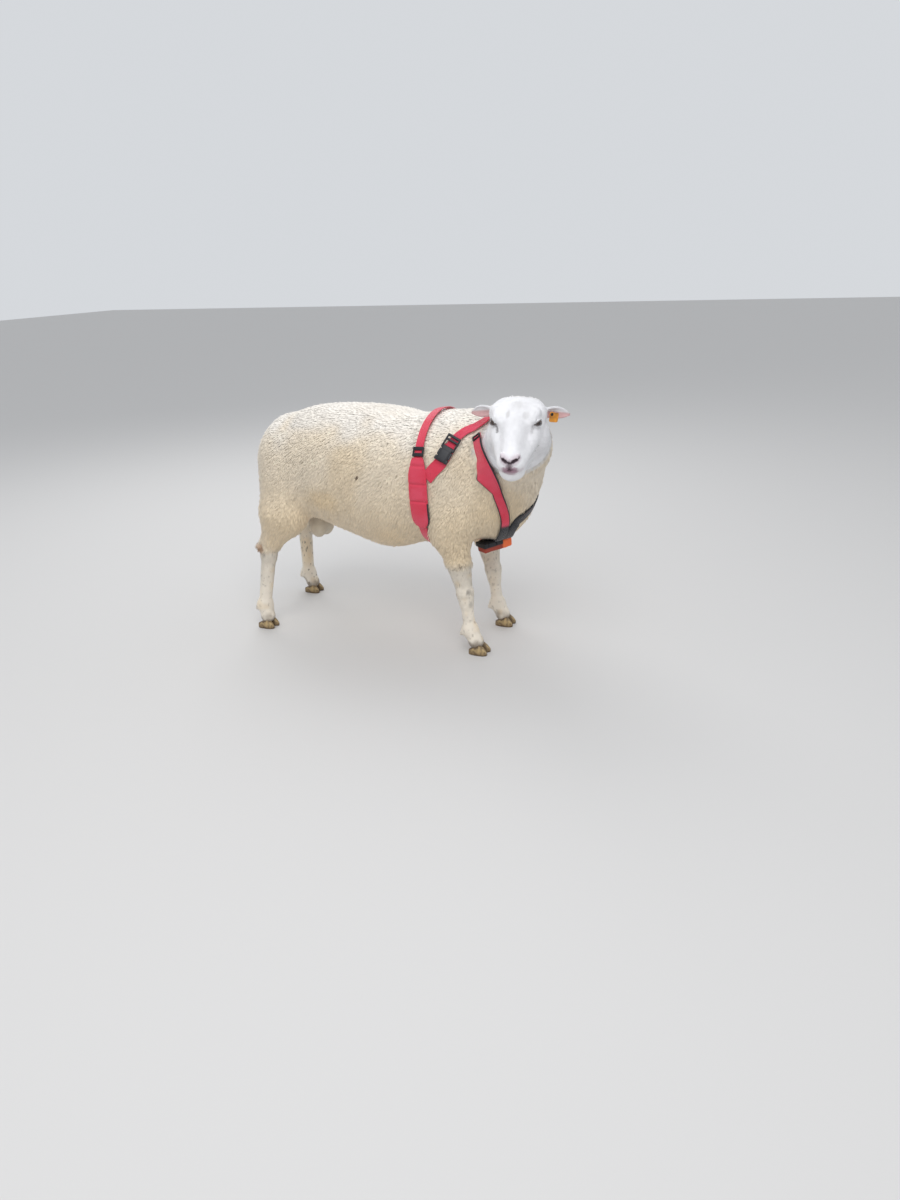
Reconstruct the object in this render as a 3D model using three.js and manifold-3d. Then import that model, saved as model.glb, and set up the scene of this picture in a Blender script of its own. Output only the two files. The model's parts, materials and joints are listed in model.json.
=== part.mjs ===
// A life-size ram in its working harness, standing square with its head turned to its right.
// Millimetres, +X forward, +Y to the animal's left, +Z up, the floor at Z = 0.
//
// The body is one implicit surface, the outside of its coat, built from named masses. The surface
// is meshed region by region and parted by thin planar cuts into head, neck, trunk, tail and legs.
// The harness lies on that surface, a few millimetres into the fleece.

import * as THREE from 'three';
import Module from 'manifold-3d';

const wasm = await Module();
wasm.setup();

// ---------------------------------------------------------------------------------------------
// Driving dimensions

const GAP = 0.5; // width of the parting cuts, and the clearance round every inset piece
const FAR = 900; // half the size of a cutting block
const SLIVER = 0.03; // edges shorter than this are closed up
const DEG = Math.PI / 180;
const RIGHT = -1;
const LEFT = 1;

// The trunk's outline at stations along the back: [x, top, bottom, half width].
const TRUNK_STATIONS = [
  [-290, 716, 404, 146],
  [-190, 743, 372, 180],
  [-50, 750, 329, 201],
  [80, 743, 296, 203],
  [190, 722, 322, 190],
  [290, 722, 354, 168],
  [400, 690, 350, 134],
];
const RUMP_ROUNDING = 112; // how far the rump reaches behind the first station
const CHEST_ROUNDING = 126; // how far the breast reaches ahead of the last one
const TRUNK_SQUARENESS = 2.35; // 2 is an ellipse, more is boxier

const TAIL = { at: [-392, 0, 588], radii: [26, 30, 62] }; // the docked tail

// The head's place, midway between the eyes, and the way it looks.
const HEAD_PLACE = [549, -196, 726];
const HEAD_TURN = -79 * DEG;
const HEAD_DROP = 27 * DEG;
const HEAD_ROLL = -1.5 * DEG;

// Inside the head: x along the nose, y to its left, z up out of its forehead.
const EYE = { at: [-8, 55, 15], radius: 15 };
const EAR = { root: [-58, 66, 11], tip: [-98, 142, -24], width: 40, thick: 7 };
const TAG = { along: 0.41, drop: 9, ahead: 5, size: [27, 28, 1.8], stud: [-8, -9, 4.5, 4] };

// Joint places of each leg, y measured out from the middle.
const LEGS = {
  foreleg_right: { fore: true, side: RIGHT, elbow: [312, 122, 400], knee: [354, 126, 190],
    fetlock: [368, 129, 74], coronet: [390, 135, 38], hoof: 396, splay: 5 },
  foreleg_left: { fore: true, side: LEFT, elbow: [318, 116, 400], knee: [358, 113, 190],
    fetlock: [372, 110, 74], coronet: [391, 108, 38], hoof: 396, splay: 5 },
  hindleg_right: { fore: false, side: RIGHT, elbow: [-284, 142, 400], knee: [-348, 152, 272],
    fetlock: [-382, 160, 80], coronet: [-372, 165, 40], hoof: -378, splay: 2 },
  hindleg_left: { fore: false, side: LEFT, elbow: [-318, 146, 400], knee: [-402, 166, 268],
    fetlock: [-418, 180, 78], coronet: [-406, 184, 38], hoof: -408, splay: 4 },
};
const CLAW = { long: 60, wide: 25, toe: 14, heel: 19, top: 34, apart: 3 };
const SCROTUM = { at: [-226, 0, 342], testis: [34, 29, 51], apart: 46, neck: [34, 400] };

// Straps: width, and how far the outer and the inner face lie outside the coat's surface.
const LIE = 2;
const WEBBING = { width: 27, outer: LIE + 3.4, inner: LIE };
const GIRTH = { x: 240, z: 530, slideAt: 33, sleeveFrom: 28, sleeveTo: -36, underWidth: 30 };
const SLEEVE = { top: 32, width: 56, outer: LIE + 9, inner: LIE };
const COLLAR = { top: 26, wide: 60, narrow: 27, outer: LIE + 7, inner: LIE };
const YOKE_LOW_WIDTH = 38;
const BUCKLE = { from: 0.091, window: 0.161, bar: 0.18, to: 0.208, width: 44, outer: LIE + 13 };
const RING = { width: 30, from: 0.006, to: 0.038, outer: LIE + 11 };
const SUNK = { from: 0.34, to: 0.86, by: 7 }; // the left collar, deep in the fleece of the breast

// Places the straps run through. The collar's places follow its inner edge.
const YOKE = [[268, -186, 566], [290, -182, 592], [311, -176, 614], [332, -156, 654],
  [345, -142, 678], [370, -122, 699], [402, -112, 712], [430, -98, 724], [444, -66, 742],
  [446, 0, 757]];
const COLLAR_RIGHT = [[424, -135, 695], [436, -152, 664], [452, -156, 628], [468, -152, 592],
  [478, -144, 560], [486, -134, 520], [491, -116, 482], [491, -97, 440], [476, -76, 404],
  [450, -48, 372]];
const COLLAR_LEFT = [[424, 135, 695], [436, 152, 664], [452, 156, 628], [468, 152, 592],
  [484, 140, 560], [504, 110, 528], [522, 66, 498], [526, 12, 474], [515, -44, 452],
  [498, -76, 428], [478, -76, 400], [452, -48, 372]];
const BREAST_STRAP = [[410, -26, 330], [370, -16, 322], [320, -8, 314], [266, 0, 306]];
const CRAYON = { at: [424, -42, 334], along: [0.53, 0.85, 0.05], size: [106, 40, 27] };
const HOLDER = { reach: 68, over: 3, depth: 10.5 };

// ---------------------------------------------------------------------------------------------
// Implicit shapes: functions of a point, negative inside and about a distance outside

const smoothUnion = (a, b, blend) => {
  const near = Math.max(blend - Math.abs(a - b), 0) / blend;
  return Math.min(a, b) - (near * near * blend) / 4;
};

const join = (blend, ...shapes) => (p) =>
  shapes.reduce((found, shape) => smoothUnion(found, shape(p), blend), Infinity);

// An ellipsoid.
const ball = (centre, radii) => (p) => {
  let k0 = 0;
  let k1 = 0;
  for (let i = 0; i < 3; i++) {
    const q = (p[i] - centre[i]) / radii[i];
    k0 += q * q;
    k1 += (q / radii[i]) ** 2;
  }
  k0 = Math.sqrt(k0);
  k1 = Math.sqrt(k1);
  return k1 < 1e-9 ? -Math.min(...radii) : (k0 * (k0 - 1)) / k1;
};

// A tapering rod with round ends. flat scales its width along y.
const limb = (a, b, ra, rb, flat = 1) => (p) => {
  const d = [b[0] - a[0], b[1] - a[1], b[2] - a[2]];
  const q = [p[0] - a[0], p[1] - a[1], p[2] - a[2]];
  const length2 = d[0] * d[0] + d[1] * d[1] + d[2] * d[2];
  const t = Math.min(Math.max((q[0] * d[0] + q[1] * d[1] + q[2] * d[2]) / length2, 0), 1);
  const away = Math.hypot(q[0] - t * d[0], (q[1] - t * d[1]) / flat, q[2] - t * d[2]);
  return away - (ra + (rb - ra) * t);
};

// A smooth curve through column k of the trunk's stations, read at x.
const station = (x, k) => {
  const rows = TRUNK_STATIONS;
  let i = 0;
  while (i < rows.length - 2 && x > rows[i + 1][0]) i++;
  const [before, from, to, after] = [i - 1, i, i + 1, i + 2].map(
    (j) => rows[Math.min(Math.max(j, 0), rows.length - 1)],
  );
  const span = to[0] - from[0];
  const t = Math.min(Math.max((x - from[0]) / span, 0), 1);
  const slopeIn = ((to[k] - before[k]) / (to[0] - before[0])) * span;
  const slopeOut = ((after[k] - from[k]) / (after[0] - from[0])) * span;
  const [t2, t3] = [t * t, t * t * t];
  return (2 * t3 - 3 * t2 + 1) * from[k] + (t3 - 2 * t2 + t) * slopeIn
    + (3 * t2 - 2 * t3) * to[k] + (t3 - t2) * slopeOut;
};

const barrel = ([x, y, z]) => {
  const first = TRUNK_STATIONS[0][0];
  const last = TRUNK_STATIONS.at(-1)[0];
  const at = Math.min(Math.max(x, first), last);
  const top = station(at, 1);
  const bottom = station(at, 2);
  const middle = (top + bottom) / 2;
  const n = TRUNK_SQUARENESS;
  const across = Math.abs(y) / station(at, 3);
  const up = (Math.abs(z - middle) * 2) / (top - bottom);
  const beyond = x - at;
  const along = beyond / (beyond < 0 ? RUMP_ROUNDING : CHEST_ROUNDING);
  const round = Math.sqrt((across ** n + up ** n) ** (2 / n) + along * along);
  return Math.hypot(beyond, y, z - middle) * (1 - 1 / Math.max(round, 1e-6));
};

// ---------------------------------------------------------------------------------------------
// The animal's masses

const sided = ([x, y, z], side) => [x, y * side, z];
const between = (a, b, t) => a.map((v, i) => v + (b[i] - v) * t);
const placesOf = (leg) => ['elbow', 'knee', 'fetlock', 'coronet'].map((n) => sided(leg[n], leg.side));

// Forearm, knee, cannon, fetlock with its dewclaws, and pastern.
const foreleg = (leg) => {
  const [elbow, knee, fetlock, coronet] = placesOf(leg);
  const under = between(knee, fetlock, 0.25);
  return join(
    14,
    limb(elbow, between(elbow, knee, 0.92), 60, 28, 0.86),
    ball(knee, [27, 26, 31]),
    limb(knee, under, 24.5, 22),
    limb(under, fetlock, 21.5, 21.5),
    ball(fetlock, [26, 27, 24]),
    limb(fetlock, coronet, 24, 26, 1.08),
    dewclaw(fetlock, RIGHT),
    dewclaw(fetlock, LEFT),
  );
};

// Gaskin, hock with its point, cannon, fetlock with its dewclaws, and pastern.
const hindleg = (leg) => {
  const [stifle, hock, fetlock, coronet] = placesOf(leg);
  const heel = [hock[0] - 27, hock[1], hock[2] + 20];
  const tendon = [stifle[0] - 40, stifle[1], stifle[2] - 24];
  return join(
    14,
    limb(stifle, between(stifle, hock, 0.93), 74, 29, 0.72),
    limb(tendon, heel, 26, 14),
    ball([hock[0], hock[1], hock[2] - 6], [30, 24, 38]),
    limb(hock, heel, 23, 14),
    limb([hock[0] - 3, hock[1], hock[2] - 24], fetlock, 27, 24, 0.86),
    ball(fetlock, [27, 27, 26]),
    limb(fetlock, coronet, 24, 26, 1.08),
    dewclaw(fetlock, RIGHT),
    dewclaw(fetlock, LEFT),
  );
};

const dewclaw = ([x, y, z], side) =>
  limb([x - 15, y + side * 12, z - 2], [x - 26, y + side * 14, z - 13], 9, 6);

const shoulder = (side) => join(
  60,
  limb(sided([292, 80, 590], side), sided([322, 106, 440], side), 92, 76, 0.94),
  limb(sided([322, 106, 440], side), sided([306, 118, 380], side), 68, 54, 0.88),
);

const thigh = (side) =>
  limb(sided([-262, 84, 560], side), sided([-284, 124, 410], side), 108, 86, 0.86);

const neck = join(
  50,
  limb([300, 0, 566], [430, -4, 618], 150, 128, 0.9),
  limb([418, -4, 470], [446, -10, 540], 84, 96, 0.94), // the breast
  limb([430, -4, 618], [520, -88, 660], 126, 100, 0.95),
  ball([500, -80, 626], [80, 84, 86]), // wool of the throat, round behind the cheeks
);

const headFrame = new THREE.Matrix4()
  .makeTranslation(...HEAD_PLACE)
  .multiply(new THREE.Matrix4().makeRotationZ(HEAD_TURN))
  .multiply(new THREE.Matrix4().makeRotationY(HEAD_DROP))
  .multiply(new THREE.Matrix4().makeRotationX(HEAD_ROLL));
const intoHead = headFrame.clone().invert();
const inHead = (shape) => (p) => {
  const e = intoHead.elements;
  return shape([0, 1, 2].map((i) => e[i] * p[0] + e[i + 4] * p[1] + e[i + 8] * p[2] + e[i + 12]));
};
const fromHead = (p) => new THREE.Vector3(...p).applyMatrix4(headFrame).toArray();

// The left half of the face; y is mirrored.
const face = join(
  16,
  ball([-62, 0, -12], [63, 75, 59]), // cranium
  ball([-28, 0, 6], [60, 62, 42]), // forehead
  ball([-70, 38, 8], [42, 38, 30]), // side of the crown
  limb([14, 0, 2], [112, 0, -17], 43, 29, 0.92), // nose
  limb([0, 32, -28], [106, 15, -34], 40, 25), // upper jaw
  ball([-36, 50, -56], [58, 42, 54]), // cheek
  limb([-38, 36, -86], [98, 15, -64], 28, 21), // lower jaw
  ball([116, 0, -27], [27, 34, 32]), // muzzle
  ball([110, 0, -64], [29, 32, 23]), // chin
  limb([-34, 52, 28], [0, 48, 28], 17, 14), // brow
  limb([-52, 60, 0], [28, 48, -16], 17, 14), // cheek bone
);
const head = inHead(([x, y, z]) => face([x, Math.abs(y), z]));

const tail = ball(TAIL.at, TAIL.radii);
const trunk = join(55, barrel, shoulder(LEFT), shoulder(RIGHT), thigh(LEFT), thigh(RIGHT));
const limbs = Object.values(LEGS).map((leg) => (leg.fore ? foreleg(leg) : hindleg(leg)));
const torso = (p) => {
  const withTail = smoothUnion(trunk(p), tail(p), 26);
  return smoothUnion(smoothUnion(withTail, neck(p), 90), head(p), 22);
};
const body = (p) => smoothUnion(torso(p), Math.min(...limbs.map((shape) => shape(p))), 34);

// ---------------------------------------------------------------------------------------------
// Meshing

// The slope of a shape at p.
const slope = (shape, p, step = 0.5) => [0, 1, 2].map((i) => {
  const ahead = [...p];
  const behind = [...p];
  ahead[i] += step;
  behind[i] -= step;
  return (shape(ahead) - shape(behind)) / (2 * step);
});

// Moves p onto the shape's surface, if that is within reach.
const ontoSurface = (shape, p, reach) => {
  let at = p;
  for (let i = 0; i < 3; i++) {
    const d = shape(at);
    const g = slope(shape, at);
    const steep = Math.max(g[0] * g[0] + g[1] * g[1] + g[2] * g[2], 1e-6);
    at = at.map((v, k) => v - (d * g[k]) / steep);
  }
  return Math.hypot(...at.map((v, k) => v - p[k])) < reach ? at : p;
};

const solidOf = (coordinates, triangles) => new wasm.Manifold(new wasm.Mesh({
  numProp: 3,
  vertProperties: new Float32Array(coordinates),
  triVerts: new Uint32Array(triangles),
}));

// Surface nets: one vertex in each cell that the surface crosses, one quad over each crossed edge.
// The box runs from low to high in frame's own axes, and the solid is closed at its sides.
const meshShape = (shape, low, high, cell, frame = new THREE.Matrix4()) => {
  const count = [0, 1, 2].map((i) => Math.ceil((high[i] - low[i]) / cell[i]) + 3);
  const stride = [1, count[0], count[0] * count[1]];
  const place = (i, j, k) => new THREE.Vector3(...[i, j, k].map((n, a) => low[a] + (n - 1) * cell[a]))
    .applyMatrix4(frame).toArray();
  const value = new Float64Array(count[0] * count[1] * count[2]);
  for (let k = 0; k < count[2]; k++) {
    for (let j = 0; j < count[1]; j++) {
      for (let i = 0; i < count[0]; i++) {
        const rim = [i, j, k].some((n, axis) => n === 0 || n === count[axis] - 1);
        value[i + j * stride[1] + k * stride[2]] = rim ? 1e3 : shape(place(i, j, k));
      }
    }
  }
  const points = [];
  const cellPoint = new Map();
  for (let k = 0; k < count[2] - 1; k++) {
    for (let j = 0; j < count[1] - 1; j++) {
      for (let i = 0; i < count[0] - 1; i++) {
        const sum = [0, 0, 0];
        let crossings = 0;
        for (let edge = 0; edge < 12; edge++) {
          const axis = edge % 3;
          const from = [i, j, k];
          from[(axis + 1) % 3] += Math.floor(edge / 3) & 1;
          from[(axis + 2) % 3] += edge > 5 ? 1 : 0;
          const a = from[0] + from[1] * stride[1] + from[2] * stride[2];
          const b = a + stride[axis];
          if (value[a] < 0 === value[b] < 0) continue;
          from[axis] += value[a] / (value[a] - value[b]);
          for (let n = 0; n < 3; n++) sum[n] += from[n];
          crossings++;
        }
        if (!crossings) continue;
        const at = place(...sum.map((v) => v / crossings));
        const inner = [i, j, k].every((n, axis) => n > 0 && n < count[axis] - 2);
        cellPoint.set(i + j * stride[1] + k * stride[2], points.length);
        points.push(inner ? ontoSurface(shape, at, 0.7 * Math.min(...cell)) : at);
      }
    }
  }
  const triangles = [];
  const distance = (a, b) => Math.hypot(...points[a].map((v, n) => v - points[b][n]));
  for (let k = 0; k < count[2] - 1; k++) {
    for (let j = 0; j < count[1] - 1; j++) {
      for (let i = 0; i < count[0] - 1; i++) {
        const a = i + j * stride[1] + k * stride[2];
        for (let axis = 0; axis < 3; axis++) {
          const b = a + stride[axis];
          if (value[a] < 0 === value[b] < 0) continue;
          if ([i, j, k].some((n, other) => other !== axis && n === 0)) continue;
          const [u, v] = [stride[(axis + 1) % 3], stride[(axis + 2) % 3]];
          const quad = [a, a - u, a - u - v, a - v].map((n) => cellPoint.get(n));
          if (value[a] < 0) quad.reverse();
          const [p, q, r, s] = quad;
          if (distance(p, r) < distance(q, s)) triangles.push(r, q, p, s, r, p);
          else triangles.push(s, q, p, s, r, q);
        }
      }
    }
  }
  return solidOf(points.flat(), triangles);
};

// A three.js geometry as a solid, with its shared vertices merged.
const solidFrom = (geometry) => {
  const position = geometry.getAttribute('position');
  const index = geometry.index ? [...geometry.index.array] : [...Array(position.count).keys()];
  const seen = new Map();
  const coordinates = [];
  const number = index.map((n) => {
    const p = [position.getX(n), position.getY(n), position.getZ(n)];
    const key = p.map((v) => v.toFixed(3)).join();
    if (!seen.has(key)) {
      seen.set(key, seen.size);
      coordinates.push(...p);
    }
    return seen.get(key);
  });
  const triangles = [];
  for (let i = 0; i < number.length; i += 3) {
    const [a, b, c] = number.slice(i, i + 3);
    if (a !== b && b !== c && c !== a) triangles.push(a, b, c);
  }
  return solidOf(coordinates, triangles);
};

// A cutting block from low to high in frame's axes.
const block = (low, high, frame = new THREE.Matrix4()) => {
  const size = [0, 1, 2].map((i) => high[i] - low[i]);
  const middle = [0, 1, 2].map((i) => (low[i] + high[i]) / 2);
  return solidFrom(new THREE.BoxGeometry(...size).translate(...middle).applyMatrix4(frame));
};

// Everything ahead of the plane through p that faces along facing, from setback behind it.
const ahead = (p, facing, setback = 0) => {
  const turn = new THREE.Quaternion()
    .setFromUnitVectors(new THREE.Vector3(1, 0, 0), new THREE.Vector3(...facing).normalize());
  const frame = new THREE.Matrix4().makeTranslation(...p)
    .multiply(new THREE.Matrix4().makeRotationFromQuaternion(turn));
  return block([-setback, -FAR, -FAR], [2 * FAR, FAR, FAR], frame);
};

// A skin over rings of points, all with the same number of points, capped at both ends.
const loft = (rings, closed = false) => {
  const n = rings[0].length;
  const points = rings.flat();
  const triangles = [];
  const bands = closed ? rings.length : rings.length - 1;
  for (let r = 0; r < bands; r++) {
    for (let i = 0; i < n; i++) {
      const j = (i + 1) % n;
      const a = r * n;
      const b = ((r + 1) % rings.length) * n;
      triangles.push(a + i, a + j, b + i, a + j, b + j, b + i);
    }
  }
  if (!closed) {
    const last = (rings.length - 1) * n;
    for (let i = 1; i < n - 1; i++) triangles.push(0, i + 1, i, last, last + i, last + i + 1);
  }
  const solid = solidOf(points.flat(), triangles);
  return solid.volume() > 0 ? solid : solidOf(points.flat(), triangles.reverse());
};

// ---------------------------------------------------------------------------------------------
// Parting planes

const NECK_CUT = { at: [398, 0, 600], facing: [0.93, -0.06, 0.3] };
// The head's cut runs behind the poll, behind the right cheek and under the jaw.
const HEAD_CUTS = [
  { at: [-84, 0, 0], facing: [1, 0, -0.1] },
  { at: [-84, -76, 0], facing: [0.45, 0.89, 0] },
  { at: [-40, 0, -116], facing: [-0.2, 0, 1] },
];

const headWedge = (grow = 0) => HEAD_CUTS.map(({ at, facing }) => {
  const tip = fromHead(at.map((v, i) => v + facing[i]));
  return ahead(fromHead(at), tip.map((v, i) => v - fromHead(at)[i]), grow);
}).reduce((wedge, side) => wedge.intersect(side));

// A leg's zone: a column round the leg up to its slanting cut, grow wider on every side.
const legZone = (leg, grow) => {
  const cut = leg.fore ? { x: 330, y: 100, z: 328, tilt: 30, from: 20 }
    : { x: -330, y: 104, z: 348, tilt: 22, from: 38 };
  const slant = cut.tilt * DEG;
  const over = ahead([cut.x, leg.side * cut.y, cut.z + grow],
    [0, -leg.side * Math.sin(slant), Math.cos(slant)]);
  const [near, far] = [cut.from - grow, 260];
  const [low, high] = leg.side === LEFT ? [near, far] : [-far, -near];
  return block([cut.x - 170 - grow, low, -50], [cut.x + 150 + grow, high, 460], new THREE.Matrix4())
    .subtract(over);
};
const tailZone = (grow) =>
  block([-540, -34 - grow, 524 - grow], [-402 + grow, 34 + grow, 632 + grow]);
const scrotumZone = (grow) =>
  block([-272 - grow, -52 - grow, 200], [-182 + grow, 52 + grow, 390 + grow]);

// ---------------------------------------------------------------------------------------------
// Materials and the list of parts

const paint = (color, roughness) => new THREE.MeshStandardMaterial({ color, roughness });
const WOOL = () => paint(0xd9cbb0, 0.95);
const HAIR = () => paint(0xe9e5e1, 0.9);
const HORN = () => paint(0xb9a27a, 0.6);
const RED = () => paint(0xd8434f, 0.8);
const BLACK = () => paint(0x1d2025, 0.5);

const root = new THREE.Group();
const made = {};
const add = (name, whole, material) => {
  const solid = whole.simplify(SLIVER);
  const mesh = solid.getMesh();
  const points = new Float32Array(mesh.numVert * 3);
  for (let i = 0; i < mesh.numVert; i++) {
    points.set(mesh.vertProperties.subarray(i * mesh.numProp, i * mesh.numProp + 3), i * 3);
  }
  const geometry = new THREE.BufferGeometry()
    .setAttribute('position', new THREE.BufferAttribute(points, 3))
    .setIndex(new THREE.BufferAttribute(new Uint32Array(mesh.triVerts), 1));
  const node = new THREE.Mesh(geometry, material);
  node.name = name;
  root.add(node);
  made[name] = solid;
};
// What is left of a solid outside the cutters, without the crumbs.
const without = (solid, cutters) => cutters.reduce((left, cutter) => left.subtract(cutter), solid)
  .decompose().reduce((best, piece) => (piece.volume() > best.volume() ? piece : best));

// ---------------------------------------------------------------------------------------------
// Straps

// The body's outermost point along a ray from inside, and the way its surface faces there.
const onCoat = (from, way) => {
  const at = (reach) => from.map((v, i) => v + way[i] * reach);
  let outside = 420;
  while (outside > 0 && body(at(outside)) > 0) outside -= 12;
  let inside = outside;
  outside = inside + 12;
  for (let i = 0; i < 12; i++) {
    const middle = (inside + outside) / 2;
    if (body(at(middle)) < 0) inside = middle;
    else outside = middle;
  }
  const out = new THREE.Vector3(...slope(torso, at(inside), 6)).normalize();
  return { at: new THREE.Vector3(...at(inside)), out };
};

// Points of the coat along a smooth curve through the given places.
const layPath = (places, steps) => {
  const curve = new THREE.CatmullRomCurve3(places.map((p) => new THREE.Vector3(...p)));
  return curve.getSpacedPoints(steps).map((p) => {
    const from = [Math.min(p.x, 400), 0, 560];
    return onCoat(from, p.clone().sub(new THREE.Vector3(...from)).normalize().toArray());
  });
};

// Points round the girth, between two angles above the horizontal: on the coat where it bulges, and
// stretched straight over its hollows.
const girthPath = (from, to, steps, side = RIGHT) => {
  const centre = new THREE.Vector3(GIRTH.x, 0, GIRTH.z);
  const step = ((to - from) / steps) * DEG;
  const path = Array.from({ length: steps + 1 }, (_, i) => {
    const angle = from * DEG + step * i;
    return onCoat(centre.toArray(), [0, side * Math.cos(angle), Math.sin(angle)]);
  });
  const reach = path.map(({ at }) => at.distanceTo(centre));
  for (let pull = 0; pull < 40; pull++) {
    for (let i = 1; i < steps; i++) {
      const straight = ((reach[i - 1] + reach[i + 1]) / 2) * Math.cos(step);
      reach[i] = Math.max(reach[i], straight);
    }
  }
  path.forEach(({ at }, i) => at.sub(centre).setLength(reach[i]).add(centre));
  return path;
};

// A flat band along a path of coat points, grow larger on every side. The width may be a function
// of the place along the path, from 0 to 1. edge is how much of the thickness its corners lose, and
// lean puts the path on the band's one edge (1) or the other (-1).
const band = (path, { width, outer, inner, edge = 0, lean = 0 }, grow = 0) => {
  const last = path.length - 1;
  const rings = path.map(({ at, out }, i) => {
    const along = path[Math.min(i + 1, last)].at.clone().sub(path[Math.max(i - 1, 0)].at).normalize();
    const side = along.clone().cross(out).normalize();
    const up = side.clone().cross(along);
    const centre = at.clone().addScaledVector(along, i === 0 ? -grow : i === last ? grow : 0);
    const wide = typeof width === 'function' ? width(i / last) : width;
    const half = wide / 2 + grow;
    centre.addScaledVector(side, (lean * wide) / 2);
    const [low, high] = [inner - grow, outer + grow];
    const corner = (s, h) => centre.clone().addScaledVector(side, s).addScaledVector(up, h).toArray();
    if (!edge) return [corner(-half, low), corner(half, low), corner(half, high), corner(-half, high)];
    const lip = (outer - inner) * edge;
    return [
      corner(-half + lip, low), corner(half - lip, low), corner(half, low + lip),
      corner(half, high - lip), corner(half - lip, high), corner(-half + lip, high),
      corner(-half, high - lip), corner(-half, low + lip),
    ];
  });
  return loft(rings);
};

const mirrored = (places) => places.map(([x, y, z]) => [x, -y, z]);
const yokePath = layPath([...YOKE, ...mirrored(YOKE).reverse().slice(1)], 24);
const sunk = (path) => path.map(({ at, out }, i) => {
  const t = (i / (path.length - 1) - SUNK.from) / (SUNK.to - SUNK.from);
  const deep = t > 0 && t < 1 ? SUNK.by * Math.sin(Math.PI * t) ** 0.6 : 0;
  return { at: at.addScaledVector(out, -deep), out };
});
const collarPaths = { right: layPath(COLLAR_RIGHT, 13), left: sunk(layPath(COLLAR_LEFT, 12)) };
// Under the chest the girth runs free of the coat's folds, square to its own plane.
const squared = (path) => path.map(({ at }) =>
  ({ at, out: at.clone().sub(new THREE.Vector3(GIRTH.x, 0, GIRTH.z)).normalize() }));
const sleevePath = (side) => girthPath(GIRTH.sleeveFrom, GIRTH.sleeveTo, 8, side);

const sleeveWidth = (t) => {
  const full = SLEEVE.top + (SLEEVE.width - SLEEVE.top) * Math.min(t / 0.22, 1) ** 0.7;
  return t < 0.86 ? full : full * Math.sqrt(1 - 0.8 * ((t - 0.86) / 0.14) ** 2);
};
const collarWidth = (t) => {
  const panel = Math.min(COLLAR.top + (COLLAR.wide - COLLAR.top) * (t / 0.3),
    COLLAR.narrow + (COLLAR.wide - COLLAR.narrow) * ((0.48 - t) / 0.12));
  return Math.max(panel, COLLAR.narrow);
};
const yokeWidth = (t) => (Math.abs(t - 0.5) > 0.5 - BUCKLE.window ? YOKE_LOW_WIDTH : WEBBING.width);
const padding = { edge: 0.28 };

// Every strap and fitting as a function of how much larger it is made.
const harness = {
  sleeve_right: (grow) => band(sleevePath(RIGHT), { ...SLEEVE, ...padding, width: sleeveWidth }, grow),
  sleeve_left: (grow) => band(sleevePath(LEFT), { ...SLEEVE, ...padding, width: sleeveWidth }, grow),
  girth_top: (grow) => band(girthPath(GIRTH.sleeveFrom - 1, 181 - GIRTH.sleeveFrom, 12), WEBBING, grow),
  girth_under: (grow) => band(squared(girthPath(GIRTH.sleeveTo + 2, -182 - GIRTH.sleeveTo, 11)),
    { ...WEBBING, width: GIRTH.underWidth }, grow),
  yoke: (grow) => band(yokePath, { ...WEBBING, width: yokeWidth }, grow),
  collar_right: (grow) =>
    band(collarPaths.right, { ...COLLAR, ...padding, width: collarWidth, lean: 1 }, grow),
  collar_left: (grow) =>
    band(collarPaths.left, { ...COLLAR, ...padding, width: collarWidth, lean: -1 }, grow),
  breast_strap: (grow) => band(layPath(BREAST_STRAP, 7), { ...WEBBING, width: 36 }, grow),
};

// Hard pieces that sit on the webbing.
const onWebbing = WEBBING.outer + GAP;
const slide = (side) => {
  const from = GIRTH.slideAt;
  const frame = { width: 36, outer: onWebbing + 4, inner: onWebbing };
  const window = { width: 25, outer: 20, inner: -5 };
  return band(girthPath(from - 4.4, from + 4.4, 1, side), frame)
    .subtract(band(girthPath(from - 2, from + 2, 1, side), window));
};
const along = (path, from, to, steps) => Array.from({ length: steps + 1 }, (_, i) => {
  const place = (from + ((to - from) * i) / steps) * (path.length - 1);
  const [a, b] = [path[Math.floor(place)], path[Math.floor(place) + 1]];
  return { at: a.at.clone().lerp(b.at, place % 1), out: a.out.clone().lerp(b.out, place % 1) };
});
const buckle = (side) => {
  const path = side === RIGHT ? yokePath : [...yokePath].reverse();
  const whole = { width: BUCKLE.width, outer: BUCKLE.outer, inner: onWebbing + 1.6, edge: 0.2 };
  const window = { width: BUCKLE.width - 9, outer: 40, inner: onWebbing - 5 };
  return band(along(path, BUCKLE.from, BUCKLE.to, 3), whole)
    .subtract(band(along(path, BUCKLE.window, BUCKLE.bar, 1), window));
};
const ring = (name) => band(along(collarPaths[name], RING.from, RING.to, 1),
  { width: RING.width, outer: RING.outer, inner: COLLAR.outer + GAP, lean: name === 'right' ? 0.8 : -0.8 });

const crayonFrame = () => {
  const along = new THREE.Vector3(...CRAYON.along).normalize();
  const across = new THREE.Vector3(0, 0, 1).cross(along).normalize();
  return new THREE.Matrix4().makeBasis(along, across, along.clone().cross(across))
    .setPosition(...CRAYON.at);
};
const crayon = (grow = 0) => {
  const [long, wide, tall] = CRAYON.size.map((v) => v / 2 + grow);
  return block([-long, -wide, -tall], [long, wide, tall], crayonFrame());
};
const holder = (grow = 0) => {
  const [long, wide, tall] = CRAYON.size.map((v) => v / 2);
  const over = HOLDER.over + GAP + grow;
  return block([-long - over, -wide - over, tall - HOLDER.depth - grow],
    [HOLDER.reach - long + grow, wide + over, tall + over], crayonFrame());
};

// ---------------------------------------------------------------------------------------------
// Ears, eyes, tag and claws

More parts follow.
